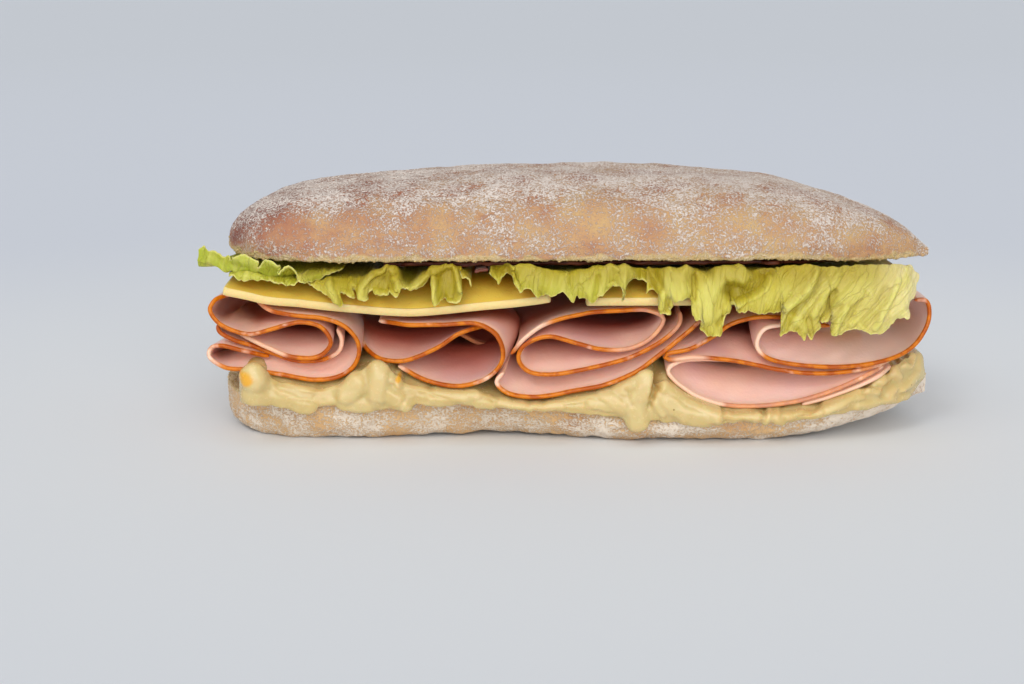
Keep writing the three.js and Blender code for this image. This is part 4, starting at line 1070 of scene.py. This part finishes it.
# Ridges and hollows of the leaves' fronts, as for the mayonnaise
LEAF_FOLDS = {
    "lettuce_left_tip": [
        ([(-105.2, 56.4), (-101.1, 53.6), (-95.0, 52.5)], 1.6, -0.7),
        ([(-95.4, 54.7), (-90.9, 55.0), (-88.8, 53.6)], 2.4, 1.0),
        ([(-88.8, 52.5), (-85.9, 53.9), (-83.4, 53.0)], 2.0, 1.0),
        ([(-82.9, 51.0), (-80.6, 52.5), (-78.4, 51.6), (-77.7, 48.5)], 0.9, 1.3),
        ([(-81.6, 50.2), (-79.6, 50.2), (-78.8, 48.5)], 1.6, -1.4),
        ([(-87.7, 51.9), (-84.9, 51.0)], 1.5, -0.8),
        ([(-77.1, 49.6), (-70.8, 51.9), (-64.4, 52.5)], 2.4, 0.8),
    ],
    "lettuce_left_low": [
        ([(-96.7, 50.5), (-92.2, 49.6), (-87.8, 49.3)], 1.6, 0.6),
        ([(-86.6, 50.7), (-84.4, 48.5), (-81.6, 47.3)], 2.2, -1.2),
        ([(-81.6, 49.6), (-80.5, 47.3)], 0.8, 1.1),
    ],
    "lettuce_left_ruffle": [
        ([(-69.8, 49.3), (-68.7, 45.9), (-67.1, 42.5)], 1.0, 1.5),
        ([(-66.7, 48.5), (-64.5, 47.3), (-61.4, 47.6)], 3.0, -0.8),
        ([(-65.6, 45.0), (-63.1, 43.9)], 0.9, 0.6),
        ([(-52.0, 53.6), (-54.3, 51.3), (-58.0, 48.8), (-60.0, 46.5), (-60.0, 43.6), (-58.6, 42.8)],
         1.0, 1.8),
        ([(-56.9, 48.2), (-54.6, 47.6), (-52.4, 47.0)], 3.0, -1.4),
        ([(-52.9, 52.5), (-50.6, 51.6)], 1.6, 1.0),
        ([(-56.4, 45.0), (-53.0, 44.5), (-50.2, 43.9)], 0.8, 1.0),
        ([(-51.2, 48.2), (-50.2, 45.6)], 0.7, 1.1),
        ([(-34.3, 53.3), (-41.1, 50.7), (-45.1, 47.0), (-47.9, 46.2), (-50.1, 48.2)], 1.6, 1.4),
        ([(-39.4, 49.0), (-39.7, 45.3), (-38.9, 41.9)], 1.0, 1.9),
        ([(-36.0, 49.6), (-35.5, 46.2), (-35.0, 43.9)], 2.9, -1.7),
        ([(-33.8, 51.9), (-33.0, 48.5), (-32.1, 45.6)], 0.7, 1.8),
        ([(-37.8, 42.2), (-34.4, 41.9)], 0.8, 0.6),
    ],
    "lettuce_middle": [
        ([(-21.7, 51.9), (-19.2, 51.3), (-17.8, 50.2)], 2.4, -2.2),
        ([(-23.7, 53.6), (-22.8, 50.7), (-21.4, 47.9)], 0.7, 0.8),
        ([(-17.2, 53.0), (-17.2, 49.3), (-15.5, 45.9)], 0.9, 1.4),
        ([(-11.6, 50.2), (-8.2, 48.2)], 4.0, 0.9),
        ([(-7.1, 50.5), (-7.9, 47.3), (-8.8, 44.5)], 1.4, -0.8),
        ([(-2.3, 50.2), (-3.2, 47.3), (-2.3, 43.9)], 2.2, 0.6),
        ([(-0.9, 51.0), (-1.5, 47.9)], 1.0, -0.4), ([(3.3, 50.2), (4.5, 46.2)], 3.0, 0.8),
        ([(6.7, 49.0), (5.9, 45.0)], 1.2, -0.7), ([(13.4, 53.0), (15.6, 50.7), (14.5, 48.5)], 3.4, 1.5),
        ([(9.7, 51.9), (9.2, 47.9)], 1.8, 0.4), ([(10.3, 47.0), (12.3, 46.8), (13.8, 43.9)], 0.9, 1.0),
        ([(18.4, 52.5), (20.7, 50.2)], 2.5, -1.4),
    ],
    "lettuce_right": [
        ([(21.8, 51.3), (23.0, 47.3)], 2.2, -1.5),
        ([(28.5, 51.9), (27.5, 48.5), (28.7, 45.6)], 4.3, 1.9),
        ([(24.7, 45.0), (24.5, 41.0)], 0.8, 1.3), ([(26.2, 43.3), (25.9, 40.5)], 1.1, -0.8),
        ([(27.3, 45.0), (27.3, 41.9)], 0.7, 1.0), ([(33.6, 49.6), (33.5, 43.6)], 1.2, -1.4),
        ([(40.3, 51.3), (38.8, 47.0), (36.6, 43.3), (36.7, 39.3)], 4.0, 1.8),
        ([(36.9, 42.2), (38.1, 40.5)], 0.5, 0.8), ([(39.2, 41.6), (38.9, 40.2)], 0.4, 0.8),
        ([(43.7, 41.0), (40.1, 38.4), (37.6, 37.0)], 1.0, 0.9),
        ([(37.9, 35.9), (39.7, 33.3)], 1.6, 0.6), ([(42.3, 39.6), (40.7, 36.4)], 1.0, -0.7),
        ([(42.9, 51.0), (46.5, 51.0), (49.4, 48.8)], 3.2, 1.6),
        ([(43.9, 45.6), (47.3, 44.8), (51.4, 47.0), (54.4, 50.7)], 3.0, -2.9),
        ([(44.8, 41.6), (48.2, 42.8), (51.2, 44.2), (53.7, 46.2), (55.3, 48.8)], 0.9, 1.9),
        ([(49.1, 41.0), (54.7, 42.5), (59.1, 45.9)], 2.6, 0.7),
        ([(68.4, 51.3), (66.9, 47.6), (64.5, 44.2), (59.2, 40.7)], 1.0, 1.8),
        ([(70.6, 51.9), (67.0, 45.0), (62.1, 40.2)], 1.6, -1.2),
        ([(74.4, 50.5), (71.7, 46.5), (69.6, 43.0), (67.2, 39.0)], 1.0, 1.1),
        ([(72.9, 45.6), (71.7, 40.2), (69.8, 37.0)], 1.3, -1.5),
        ([(82.6, 48.8), (78.2, 45.9), (74.4, 42.5)], 2.2, 1.0),
        ([(80.5, 45.0), (76.7, 42.2), (72.8, 39.0), (69.5, 36.4)], 0.9, 1.0),
        ([(76.1, 41.0), (74.0, 37.0), (73.0, 33.5)], 0.9, 1.6),
        ([(73.9, 41.0), (71.7, 38.2)], 1.5, -1.0),
        ([(83.8, 46.5), (81.2, 42.2), (78.0, 36.4)], 1.0, 0.8),
        ([(82.2, 43.9), (78.5, 38.2)], 1.3, -0.8),
        ([(87.8, 45.6), (85.7, 41.6), (82.0, 37.0)], 1.8, -0.8),
        ([(91.6, 48.5), (89.8, 44.5), (87.4, 40.5), (84.6, 35.3)], 0.7, 1.4),
        ([(94.4, 47.3), (92.4, 43.3), (89.8, 39.3)], 2.0, 0.7),
        ([(62.4, 37.6), (65.1, 35.3)], 1.6, 0.7), ([(66.1, 37.6), (67.1, 33.0)], 1.3, -0.8),
    ],
}
# How far streaks lean along the loaf, per unit of height
STREAK_LEAN = profile([(-108, 0.3), (-80, 0.1), (-40, 0.3), (-10, 0.3), (20, 0.05), (45, 0.2),
                       (64, 0.85), (86, 0.9), (99, 0.5)])
# Front edges of the leaves: the free hem with its teeth and curls, the crest over which the leaf goes back,
# the level at which it lies behind, how green it is, how deep its pleats are and how shaded it lies
LETTUCE_LEAVES = {
    "lettuce_left_tip": {
        "hem": [(-107.5, -31, 55.4), (-105.5, -32, 56.6), (-104.9, -32, 55.2), (-102.1, -33, 55.3),
                (-100, -34, 53.9), (-98.8, -34, 54.3), (-97.1, -35.5, 52.7), (-96.1, -38, 54.7),
                (-92.7, -39, 55.2), (-90.3, -40, 54.5), (-88.5, -41, 53.9), (-89.4, -39.5, 52.5),
                (-89, -40.5, 51.7), (-86.6, -41, 54), (-84.3, -41.5, 53.8), (-82.9, -41, 52.8),
                (-82.7, -39.5, 51.2), (-83.6, -41, 50.5), (-82.9, -41.5, 50.5), (-81.1, -41, 52.5),
                (-79.2, -41, 52), (-78.2, -40.5, 50.5), (-78, -41, 48.7), (-77.1, -42, 47.9),
                (-73.2, -38, 47.8), (-69.7, -36, 48.9), (-65.4, -34, 50.1)],
        "crest": [(-107.8, -31, 52.7), (-105.5, -32, 52.2), (-102.5, -33, 51.3), (-99.5, -34.5, 50.6),
                  (-97, -36, 50.4), (-94.3, -37, 50.6), (-92, -37.5, 50.5), (-89.1, -38, 50.5),
                  (-86.4, -37.5, 49.8), (-83.7, -37, 49.3), (-80.9, -36.5, 49.1), (-77.9, -36, 49.6),
                  (-73.5, -35, 50.2), (-69.9, -34, 50.4), (-65.5, -33, 50.8)],
        "rest": 50.6, "green": 0.75, "pleat": 0.3,
    },
    "lettuce_left_low": {
        "hem": [(-98.3, -36, 49.1), (-96.4, -38, 48.7), (-94.6, -39, 48.1), (-93.3, -39.5, 47.6),
                (-91.2, -39.5, 47.7), (-89.2, -39.5, 47.8), (-86.8, -39, 47.9), (-85.5, -40, 47.5),
                (-84.6, -40.5, 47.3), (-83.3, -40.5, 46.9), (-81.5, -41, 46.4), (-80.8, -40, 46.7),
                (-79.9, -41, 46.4), (-78.4, -40.5, 46.8), (-77.3, -40, 47.4)],
        "crest": [(-98.2, -35, 49.2), (-95, -36, 50.2), (-93.2, -37, 50.4), (-90.9, -37, 50.3),
                  (-88.7, -37, 50.1), (-86.5, -37, 49.7), (-84.2, -37, 49.3), (-82, -37, 49),
                  (-79.2, -37, 48.3), (-77.8, -37, 47.7)],
        "rest": 48.2, "green": 0.5, "pleat": 0.3,
    },
    "lettuce_left_ruffle": {
        "hem": [(-76, -38.5, 47.4), (-74.3, -39.5, 46.3), (-72.1, -40.5, 45.2), (-69.3, -41.5, 43.6),
                (-67.3, -42, 41.8), (-65.7, -42.5, 41.1), (-65.1, -42, 41.6), (-66.3, -41.5, 42.8),
                (-66.1, -41, 44.4), (-65.6, -41, 44.8), (-63.8, -42, 43.8), (-61.9, -42.5, 43),
                (-61.7, -42, 43.5), (-62.9, -41, 45.2), (-62.2, -41, 45.7), (-61, -42, 44.3),
                (-60.8, -42.5, 43.3), (-59.7, -43, 42.7), (-57.9, -42, 43.1), (-58.6, -41, 43.6),
                (-58.2, -41, 44.4), (-57, -41, 45.4), (-56.5, -41.5, 45), (-56.1, -42, 44.3),
                (-54, -42, 43.9), (-52.1, -41.5, 44.2), (-52.6, -41, 44.9), (-50, -42.5, 43.7),
                (-49.3, -42, 44.9), (-49, -41, 45.6), (-48, -40.5, 46.3), (-46.5, -41, 45.3),
                (-44.3, -41, 45.7), (-42.4, -40.5, 46.6), (-41.3, -39.5, 48.4), (-40.7, -39.5, 49.7),
                (-39.8, -40.5, 48.6), (-40.2, -41, 47.5), (-39.9, -42, 44.9), (-39.5, -43, 41.7),
                (-38.2, -42.5, 41.6), (-36.8, -41.5, 42.9), (-35.1, -42.5, 41.6), (-33.1, -42.5, 41.6),
                (-32, -42, 42.9), (-31.6, -41, 44.7), (-32, -40, 46), (-32.9, -39, 48.9),
                (-33.4, -38.5, 51.1), (-32.6, -39.5, 50.3), (-31.4, -40, 48.5), (-29.8, -40, 48.7),
                (-29, -40, 46)],
        "crest": [(-76, -37, 47.7), (-73.8, -37.5, 47.7), (-71.5, -38, 47.9), (-69.9, -38, 48.1),
                  (-67.1, -38, 48.2), (-64.3, -38, 48.2), (-61.3, -38, 48.3), (-59.3, -38.5, 48.4),
                  (-56.9, -39, 50.2), (-54.7, -39, 51.7), (-52.4, -39, 52.4), (-50, -38.5, 51.6),
                  (-48.7, -38, 47.9), (-46.7, -38, 46.7), (-44.7, -38, 47.9), (-42.4, -38.5, 49.8),
                  (-40.2, -39, 51.9), (-37.9, -39, 52.4), (-35.4, -39, 52.4), (-33.2, -38, 52.1),
                  (-31.3, -37.5, 50.6), (-29.1, -37, 48)],
        "rest": 48.4, "green": 0.15, "pleat": 0.8, "shade": 0.35,
    },
    "lettuce_middle": {
        "hem": [(-24.1, -38, 49.9), (-22.9, -39, 48.4), (-21.5, -40, 48), (-21.3, -41, 46.8),
                (-20.6, -40, 48.3), (-19.1, -39.5, 49.4), (-17.7, -39.5, 49.4), (-17.4, -41.5, 49.1),
                (-15.2, -43, 45.4), (-13.2, -42.5, 46.4), (-11.9, -43, 45.4), (-9.9, -43.5, 43.7),
                (-8.6, -43, 44), (-7.4, -43, 44.6), (-6.6, -43, 44.2), (-5.4, -43.5, 43.7),
                (-4.9, -42.5, 44.7), (-2.9, -42.5, 45), (-1.6, -43.5, 43.7), (-1, -43.5, 42.4),
                (-0.4, -43.5, 42.8), (0.9, -42.5, 44.4), (1.5, -43, 43.4), (2.9, -43, 43.2),
                (4.7, -44, 42.2), (5.2, -43.5, 42.3), (7.3, -43, 43.6), (9.4, -42, 45.2),
                (10.4, -41, 46.3), (11.7, -41, 46.9), (12.7, -42, 47.1), (13.2, -42.5, 46.3),
                (13.8, -43, 44.4), (13.5, -43, 42.2), (14.1, -42.5, 43.6), (14.3, -41, 46.4),
                (15.5, -39.5, 47.7), (17.2, -39, 48.6), (19.5, -39, 48), (22, -38.5, 46.5)],
        "crest": [(-23.7, -36, 51.9), (-21.9, -37, 52.2), (-18.9, -38, 52.6), (-17.2, -40, 52.6),
                  (-15.2, -40, 52.6), (-12.2, -40, 52.6), (-9.2, -40.5, 51.4), (-5.9, -41, 50.8),
                  (-2.9, -41.5, 50.1), (-0.6, -41, 50.5), (2.7, -40.5, 51.2), (6.1, -40, 52),
                  (9.4, -40, 52.6), (12.7, -39.5, 52.6), (15.1, -39.5, 52.6), (16.8, -39, 52.1),
                  (19.5, -38.5, 51), (22, -38, 49.6)],
        "rest": 48.4, "green": 0.35, "pleat": 0.8,
    },
    "lettuce_right": {
        "hem": [(20.3, -40, 44.2), (21.9, -40, 45.2), (22.7, -40.5, 45), (23.9, -42, 44.5),
                (24, -43, 42.7), (23.7, -43.5, 40.4), (24.3, -43.5, 39.1), (25.8, -43.5, 38.7),
                (27.3, -43, 39.2), (26.6, -43.5, 40.3), (27.7, -43, 41.1), (26.8, -43, 43.8),
                (28.5, -43, 41.9), (29.2, -43.5, 43.3), (31.1, -43.5, 43.4), (32.8, -43, 43),
                (33.1, -43.5, 42.4), (33, -44, 40.5), (33.6, -44, 38.5), (34.2, -44, 37.3),
                (35.2, -43.5, 37.6), (36.6, -43.5, 36), (35.4, -43.5, 34.9), (37, -43.5, 33.5),
                (37.8, -43.5, 32.3), (39.9, -43.5, 32.7), (41.6, -43.5, 33.2), (41.9, -43, 34.5),
                (42.3, -43.5, 37.6), (43.9, -43, 39.7), (44.3, -42, 41.5), (44.7, -43.5, 42),
                (45.4, -44, 41), (46.2, -44.5, 39.6), (48, -44, 39.9), (50.7, -44, 39.5),
                (53.4, -44.5, 39.3), (55.9, -44, 39.5), (58.6, -43.5, 39.5), (59.5, -44.5, 38),
                (59.1, -45, 35.3), (57.8, -45, 33.1), (61.2, -44.5, 34.5), (63.4, -44.5, 33.4),
                (64.7, -45, 32), (65.5, -44.5, 33.3), (67, -45, 31.4), (67.9, -44.5, 34),
                (69.4, -44, 35.1), (68.7, -43.5, 35.9), (69.4, -43.5, 37.5), (69.9, -44, 36.3),
                (71.8, -43.5, 37.1), (74.2, -43, 38.6), (72.9, -44.5, 35.8), (72.3, -45, 33.2),
                (75.8, -45, 33.8), (77.6, -44.5, 34.5), (79.8, -44, 34.8), (81.8, -45, 33.8),
                (85, -45, 33.4), (87.7, -44.5, 34.3), (89.2, -44, 36), (91.9, -43.5, 37.7),
                (94.4, -43, 38), (94, -42.5, 40.3), (94.6, -41.5, 41.9), (96.6, -40, 43.7),
                (97.2, -38, 46.4), (98.5, -36, 48.2), (97.3, -35, 50.1), (95.3, -34, 51.4)],
        "crest": [(20.4, -37.5, 50.8), (21.7, -38, 51.2), (24.3, -39.5, 50.9), (26.6, -40.5, 51.9),
                  (30.3, -41, 52.4), (32.5, -41, 52.4), (34.2, -40, 50.8), (35.9, -39.5, 49.8),
                  (38.1, -39.5, 50), (40.1, -40.5, 51.6), (43.6, -40.5, 52.4), (47.2, -40, 52.2),
                  (50.4, -38.5, 50.2), (53.9, -38.5, 50.4), (57.9, -39, 50.9), (61.1, -40.5, 52),
                  (65.5, -40.5, 52.4), (71.8, -40, 52.2), (77.5, -39.5, 52), (82.2, -38.5, 51.8),
                  (86.9, -37.5, 51.6), (91.7, -36, 51.6), (95.3, -34.5, 51.4)],
        "rest": 48.6, "green": 0.1, "pleat": 1.0,
    },
}

# Spans between the guide lines of a leaf
LEAF_SPANS = 8.0


def crest_under(hem, crest):
    """For each point of a hem, the point of the crest that it hangs from; the crest runs on evenly where
    the hem turns back on itself."""
    steady = np.maximum.accumulate(averaged(hem[:, :1], 10.0 / LEAF_STEP)[:, 0])
    share = (steady - steady[0]) / (steady[-1] - steady[0])
    crest = np.array(crest)
    x = lerp(crest[0, 0], crest[-1, 0], share)
    return np.stack([x, profile(crest[:, [0, 1]])(x), profile(crest[:, [0, 2]])(x)], axis=1)


def leaf_rows(leaf, hem):
    """Guide lines of a leaf from its front hem over the crest and back to its rear hem."""
    crest = crest_under(hem, leaf["crest"])
    even_hem, calm_hem = averaged(hem, 2.5 / LEAF_STEP), averaged(hem, 7.0 / LEAF_STEP)
    back = np.maximum(LEAF_BACK(crest[:, 0]), crest[:, 1] + 4.0)
    rest = np.full(len(hem), leaf["rest"])

    def row(y, z):
        return np.stack([crest[:, 0], y, z], axis=1)

    droop = np.minimum(1.0, (back - crest[:, 1]) / 50.0)
    return [hem, lerp(even_hem, crest, np.array([0.12, 0.02, 0.14])),
            lerp(calm_hem, crest, np.array([0.6, 0.3, 0.62])), crest,
            row(lerp(crest[:, 1], back, 0.07), np.minimum(crest[:, 2], rest + 1.6)),
            row(lerp(crest[:, 1], back, 0.3), rest),
            row(lerp(crest[:, 1], back, 0.75), rest),
            row(back, np.minimum(crest[:, 2], rest + 2.4)),
            row(back + 3.0, lerp(crest[:, 2] - 1.5, rest - 1.0, droop))]


def lettuce_leaves():
    near = np.concatenate([[0.0, 0.02, 0.06], np.linspace(0.14, 3.3, 44)]) / LEAF_SPANS
    places = np.concatenate([near, np.linspace(near[-1], 1.0, 34)[1:]])
    span = places[None, :] * LEAF_SPANS
    for number, (name, leaf) in enumerate(LETTUCE_LEAVES.items()):
        length = np.linalg.norm(np.diff(np.array(leaf["hem"]), axis=0), axis=1).sum()
        columns = int(length / LEAF_STEP)
        hem = even_line(leaf["hem"], columns)
        guides = np.array(leaf_rows(leaf, hem))
        grid = np.stack([smooth_line(guides[:, c], places) for c in range(columns)])
        x, y, z = np.moveaxis(grid, 2, 0)
        gaps = np.linalg.norm(np.diff(grid, axis=1), axis=2)
        deep = np.concatenate([np.zeros((columns, 1)), np.cumsum(gaps, axis=1)], axis=1)
        level, apart = 0 * deep, 0 * deep + 40.0 * number
        along = np.linspace(0.0, length, columns)[:, None] + level
        hanging = 1.0 - ease(span, 0.4, 3.0) + level
        wave = np.stack([x + 0.35 * z, deep * 0.22, apart], axis=2)
        stray = 0.45 * ripple(wave, 2.4, 2, 46)
        lift, sink = fold_rise(x + stray, z + stray, LEAF_FOLDS[name])
        front = 1.0 - ease(span, 2.6, 3.6) + level
        lift, sink = lift * front, sink * front
        pleats = ripple(wave, 5.6, 2, 43) + 0.5 * ripple(wave, 2.0, 2, 44)
        across = x - STREAK_LEAN(x) * (z - 52.0)
        y -= lift + sink + leaf["pleat"] * pleats * hanging
        # An uneven crest, teeth along the front hem, and waves and teeth at the back
        z -= 1.3 * (np.abs(ripple(wave, 4.5, 2, 48)) * bell(span, 3.0, 1.1))
        teeth = 0.7 * ripple(np.stack([along, level, apart], axis=2), 1.5, 2, 47)
        z += teeth * (1.0 - ease(deep, 0.0, 2.2))
        behind = ease(span, 6.2, 7.6) + level
        rear = np.stack([x, level, apart], axis=2)
        y += behind * (1.5 * ripple(rear, 5.0, 2, 49) + 0.7 * ripple(rear, 1.8, 2, 50) - 0.4)
        z += behind * ease(span, 7.0, 8.0) * (1.3 * ripple(rear, 3.2, 3, 52) + 0.7)
        z += np.minimum(0.6 * ripple(wave, 9.0, 2, 45) * ease(deep, 8.0, 20.0), 0.2)
        from_side = np.minimum(along, length - along)
        from_hem = np.minimum(deep, deep[:, -1:] - deep)
        half = LEAF_THICKNESS / 2 * rounded(from_side, 0.5) * rounded(from_hem, 0.3)
        pale = ease(x, 78, 99) * 0.8 + 0.2 * ease(x, 55, 75)
        open_ends = (1.0 - ease(x, 78, 96)) * ease(x, -84, -76)
        shade = ease(z, 45.0, 51.0) * open_ends + leaf.get("shade", 0.0)
        marks = {"across": across + 60.0 * number, "deep": from_hem, "pale": pale, "shade": shade,
                 "fold": lift + sink, "green": leaf["green"] + level}
        piece = closed_sheet(name, grid, half, marks)
        finish(piece, LEAF_LOOK, "lettuce", name)


DARK_START, DARK_END = -54.0, 76.0
DARK_FRONT, DARK_BACK = -36.6, 36.0
SHAVING_START, SHAVING_END = -28.2, -24.3
SHAVING_FRONT, SHAVING_BACK = -36.4, 29.6
SHAVING_LEVEL = profile([(-28.2, 49.7), (-26.2, 50.2), (-24.3, 50.6)])


def dark_layer():
    x = DARK_START + edge_places(DARK_END - DARK_START, 0.9)[:, None]
    width = DARK_BACK - DARK_FRONT
    share = edge_places(width, 0.9)[None, :] / width
    narrow = np.minimum(1.0, 0.7 + (DARK_END - x) / 60.0)
    y = lerp(DARK_FRONT, DARK_BACK, share) * narrow
    grid = np.stack([x + 0 * y, y, TOP_CUT(x) - TOUCH_GAP - DARK_LAYER_THICKNESS / 2 + 0 * y], axis=2)
    from_edge = np.minimum(share, 1 - share) * width + 0 * x
    from_side = np.minimum(x - DARK_START, DARK_END - x) + 0 * y
    ragged = 1.0 - ease(np.minimum(from_edge, from_side), 0.0, 5.0)
    grid[..., 1] += ragged * 1.1 * ripple(grid, 5.0, 3, 51) * np.sign(grid[..., 1])
    grid[..., 2] += 0.35 * ragged * ripple(grid, 3.0, 2, 52) - 0.25 * ragged
    half = DARK_LAYER_THICKNESS / 2 * rounded(from_edge, 0.5) * rounded(from_side, 0.5)
    finish(closed_sheet("dark_layer", grid, half), DARK_LOOK, "dark", "dark_layer")


def meat_shaving():
    x = np.linspace(SHAVING_START, SHAVING_END, 40)[:, None]
    y = SHAVING_FRONT + edge_places(SHAVING_BACK - SHAVING_FRONT, 1.0)[None, :]
    grid = np.stack([x + 0 * y, y + 0 * x, SHAVING_LEVEL(x) + 0 * y], axis=2)
    grid[..., 2] += 0.25 * ripple(grid, 2.2, 2, 61)
    from_side = np.minimum(x - SHAVING_START, SHAVING_END - x) + 0 * y
    from_edge = np.minimum(y - SHAVING_FRONT, SHAVING_BACK - y) + 0 * x
    half = 0.45 * rounded(from_side, 0.4) * rounded(from_edge, 0.4)
    piece = closed_sheet("meat_shaving", grid, half, {"edge": np.minimum(from_side, from_edge)})
    finish(piece, SHAVING_LOOK, "shaving", "meat_shaving")


# ---------------------------------------------------------------- crumbs and flour, in Geometry Nodes

BARE_FLOUR = 0.25
FLOUR_GRAINS = {"Small": 0.00008, "Large": 0.00024, "Flatness": 0.6}


def scatter_tree():
    """Small uneven grains over a surface, more where the mark is high."""
    tree, make, given = new_tree("scattered_grains", "Grains", {
        "Ground": "Geometry", "Density": "Float", "Small": "Float", "Large": "Float",
        "Flatness": "Float", "Seed": "Int", "Look": "Material"})
    seed = given.also("Seed")
    density = make.mesh_mark("grains").held() * given.also("Density")
    spread = make.node("GeometryNodeDistributePointsOnFaces", {"distribute_method": "RANDOM"},
                       {"Mesh": given, "Density": density, "Seed": seed}, "Points")
    size = make.node("FunctionNodeRandomValue", {"data_type": "FLOAT"},
                     {2: given.also("Small"), 3: given.also("Large"), "Seed": seed}, 1)
    ball = make.node("GeometryNodeMeshIcoSphere", {}, {"Radius": 1.0, "Subdivisions": 1}, "Mesh")
    shape = make.node("FunctionNodeRandomValue", {"data_type": "FLOAT_VECTOR"},
                      {0: (0.7, 0.7, 0.5), 1: (1.3, 1.3, 1.0), "Seed": seed + 7}, 0)
    scale = make.scaled(shape * make.vector(X=1.0, Y=1.0, Z=given.also("Flatness")), size)
    inputs = {"Points": spread, "Instance": ball, "Rotation": spread.also("Rotation"), "Scale": scale}
    placed = make.node("GeometryNodeInstanceOnPoints", {}, inputs, "Instances")
    real = make.node("GeometryNodeRealizeInstances", {}, {"Geometry": placed})
    jitter = make.node("ShaderNodeTexNoise", {}, {"Scale": 2600.0, "Detail": 1.0}, "Color")
    uneven = make.node("GeometryNodeSetPosition", {}, {"Geometry": real, "Offset": (jitter - 0.5) * 0.00035})
    make.close(uneven, given.also("Look"), "Grains")
    return tree


def scatter(tree, name, ground, grains, look, slot, **inputs):
    """Grains over a copy of a piece's mesh; grains gives how thick they lie at each of its points."""
    mesh = ground.data.copy()
    keep_marks(mesh, {"grains": grains})
    piece = grown(name, tree, mesh, Look=look, **inputs)
    finish(piece, look, slot)


def point_mark(piece, name):
    """The values of a mark at the points of a piece."""
    values = np.empty(len(piece.data.vertices), np.float32)
    piece.data.attributes[name].data.foreach_get("value", values)
    return values


def loose_flour_share(bread):
    """Grains of flour lie where the crust is floured well."""
    return np.clip(point_mark(bread, "flour") - BARE_FLOUR, 0.0, 1.0)


# ---------------------------------------------------------------- studio

# The camera stands in front of the open side and looks down a little, in metres and degrees
CAMERA_PLACE = (-0.0175, -0.51494, 0.13118)
CAMERA_TILT = 78.0


def studio():
    def backdrop(look, place):
        far = look.node("ShaderNodeVectorMath", {"operation": "LENGTH"}, {0: place}, "Value")
        # Painted light: the floor is painted paler near the sandwich and greyer further away, a pool of light
        # fading out
        tone = look.mix(far.ease(0.12, 0.45), colour(231, 234, 238), colour(218, 223, 233))
        tone = look.mix(far.ease(0.4, 3.0), tone, colour(215, 220, 228))
        return {"Base Color": tone}

    corners = [(-30, -30, 0), (30, -30, 0), (30, 30, 0), (-30, 30, 0)]
    floor = new_piece("pale_floor", np.array(corners) / MM, [(0, 1, 2, 3)])
    floor.data.materials.append(new_look("pale_paper", backdrop, Roughness=0.8))

    def soft_light(name, side, height, spread, strength, tint):
        """A wide soft light from a side angle (0 is the camera's) and a height angle, in degrees."""
        light = bpy.data.lights.new(name, "SUN")
        light.angle = math.radians(spread)
        light.energy = strength
        light.color = tint
        new_object(name, light).rotation_euler = (math.radians(90 - height), 0.0, math.radians(side))

    soft_light("key_light", -15.0, 55.0, 70.0, 0.8, (1.0, 0.985, 0.965))
    soft_light("window_light", -28.0, 42.0, 16.0, 0.5, (1.0, 0.99, 0.975))
    soft_light("front_light", 6.0, 15.0, 50.0, 1.7, (1.0, 0.985, 0.965))
    world = bpy.data.worlds.new("soft_room")
    world.use_nodes = True
    room = world.node_tree.nodes["Background"].inputs
    room["Color"].default_value = (0.94, 0.97, 1.0, 1.0)
    room["Strength"].default_value = 0.38
    bpy.context.scene.world = world


def camera():
    view = bpy.data.cameras.new("camera")
    view.lens = 60.0
    view.sensor_width = 36.0
    holder = new_object("camera", view)
    holder.location = CAMERA_PLACE
    holder.rotation_euler = (math.radians(CAMERA_TILT), 0.0, 0.0)
    bpy.context.scene.camera = holder


camera()
studio()
bpy.context.scene.view_settings.view_transform = "Standard"

bread_top = top_bread()
bread_bottom = bottom_bread()
finish(bread_top, CRUST_LOOK, "crust", "bread_top")
finish(bread_bottom, SOLE_LOOK, "crust", "bread_bottom")
finish(egg_mayonnaise(), SAUCE_LOOK, "mayo", "egg_mayonnaise")
ham_slices()
cheese_slices()
lettuce_leaves()
dark_layer()
meat_shaving()

grain_tree = scatter_tree()
crumb = point_mark(bread_top, "crumb")
scatter(grain_tree, "flour_on_top", bread_top, loose_flour_share(bread_top) * (1.0 - crumb), FLOUR_LOOK,
        "crust", Density=900000.0, Seed=3, **FLOUR_GRAINS)
scatter(grain_tree, "flour_on_bottom", bread_bottom, loose_flour_share(bread_bottom), FLOUR_LOOK,
        "crust", Density=660000.0, Seed=5, **FLOUR_GRAINS)
scatter(grain_tree, "crumbs_at_rim", bread_top, crumb ** 2, CRUMB_LOOK,
        "crust", Density=620000.0, Small=0.00012, Large=0.00045, Flatness=0.9, Seed=8)
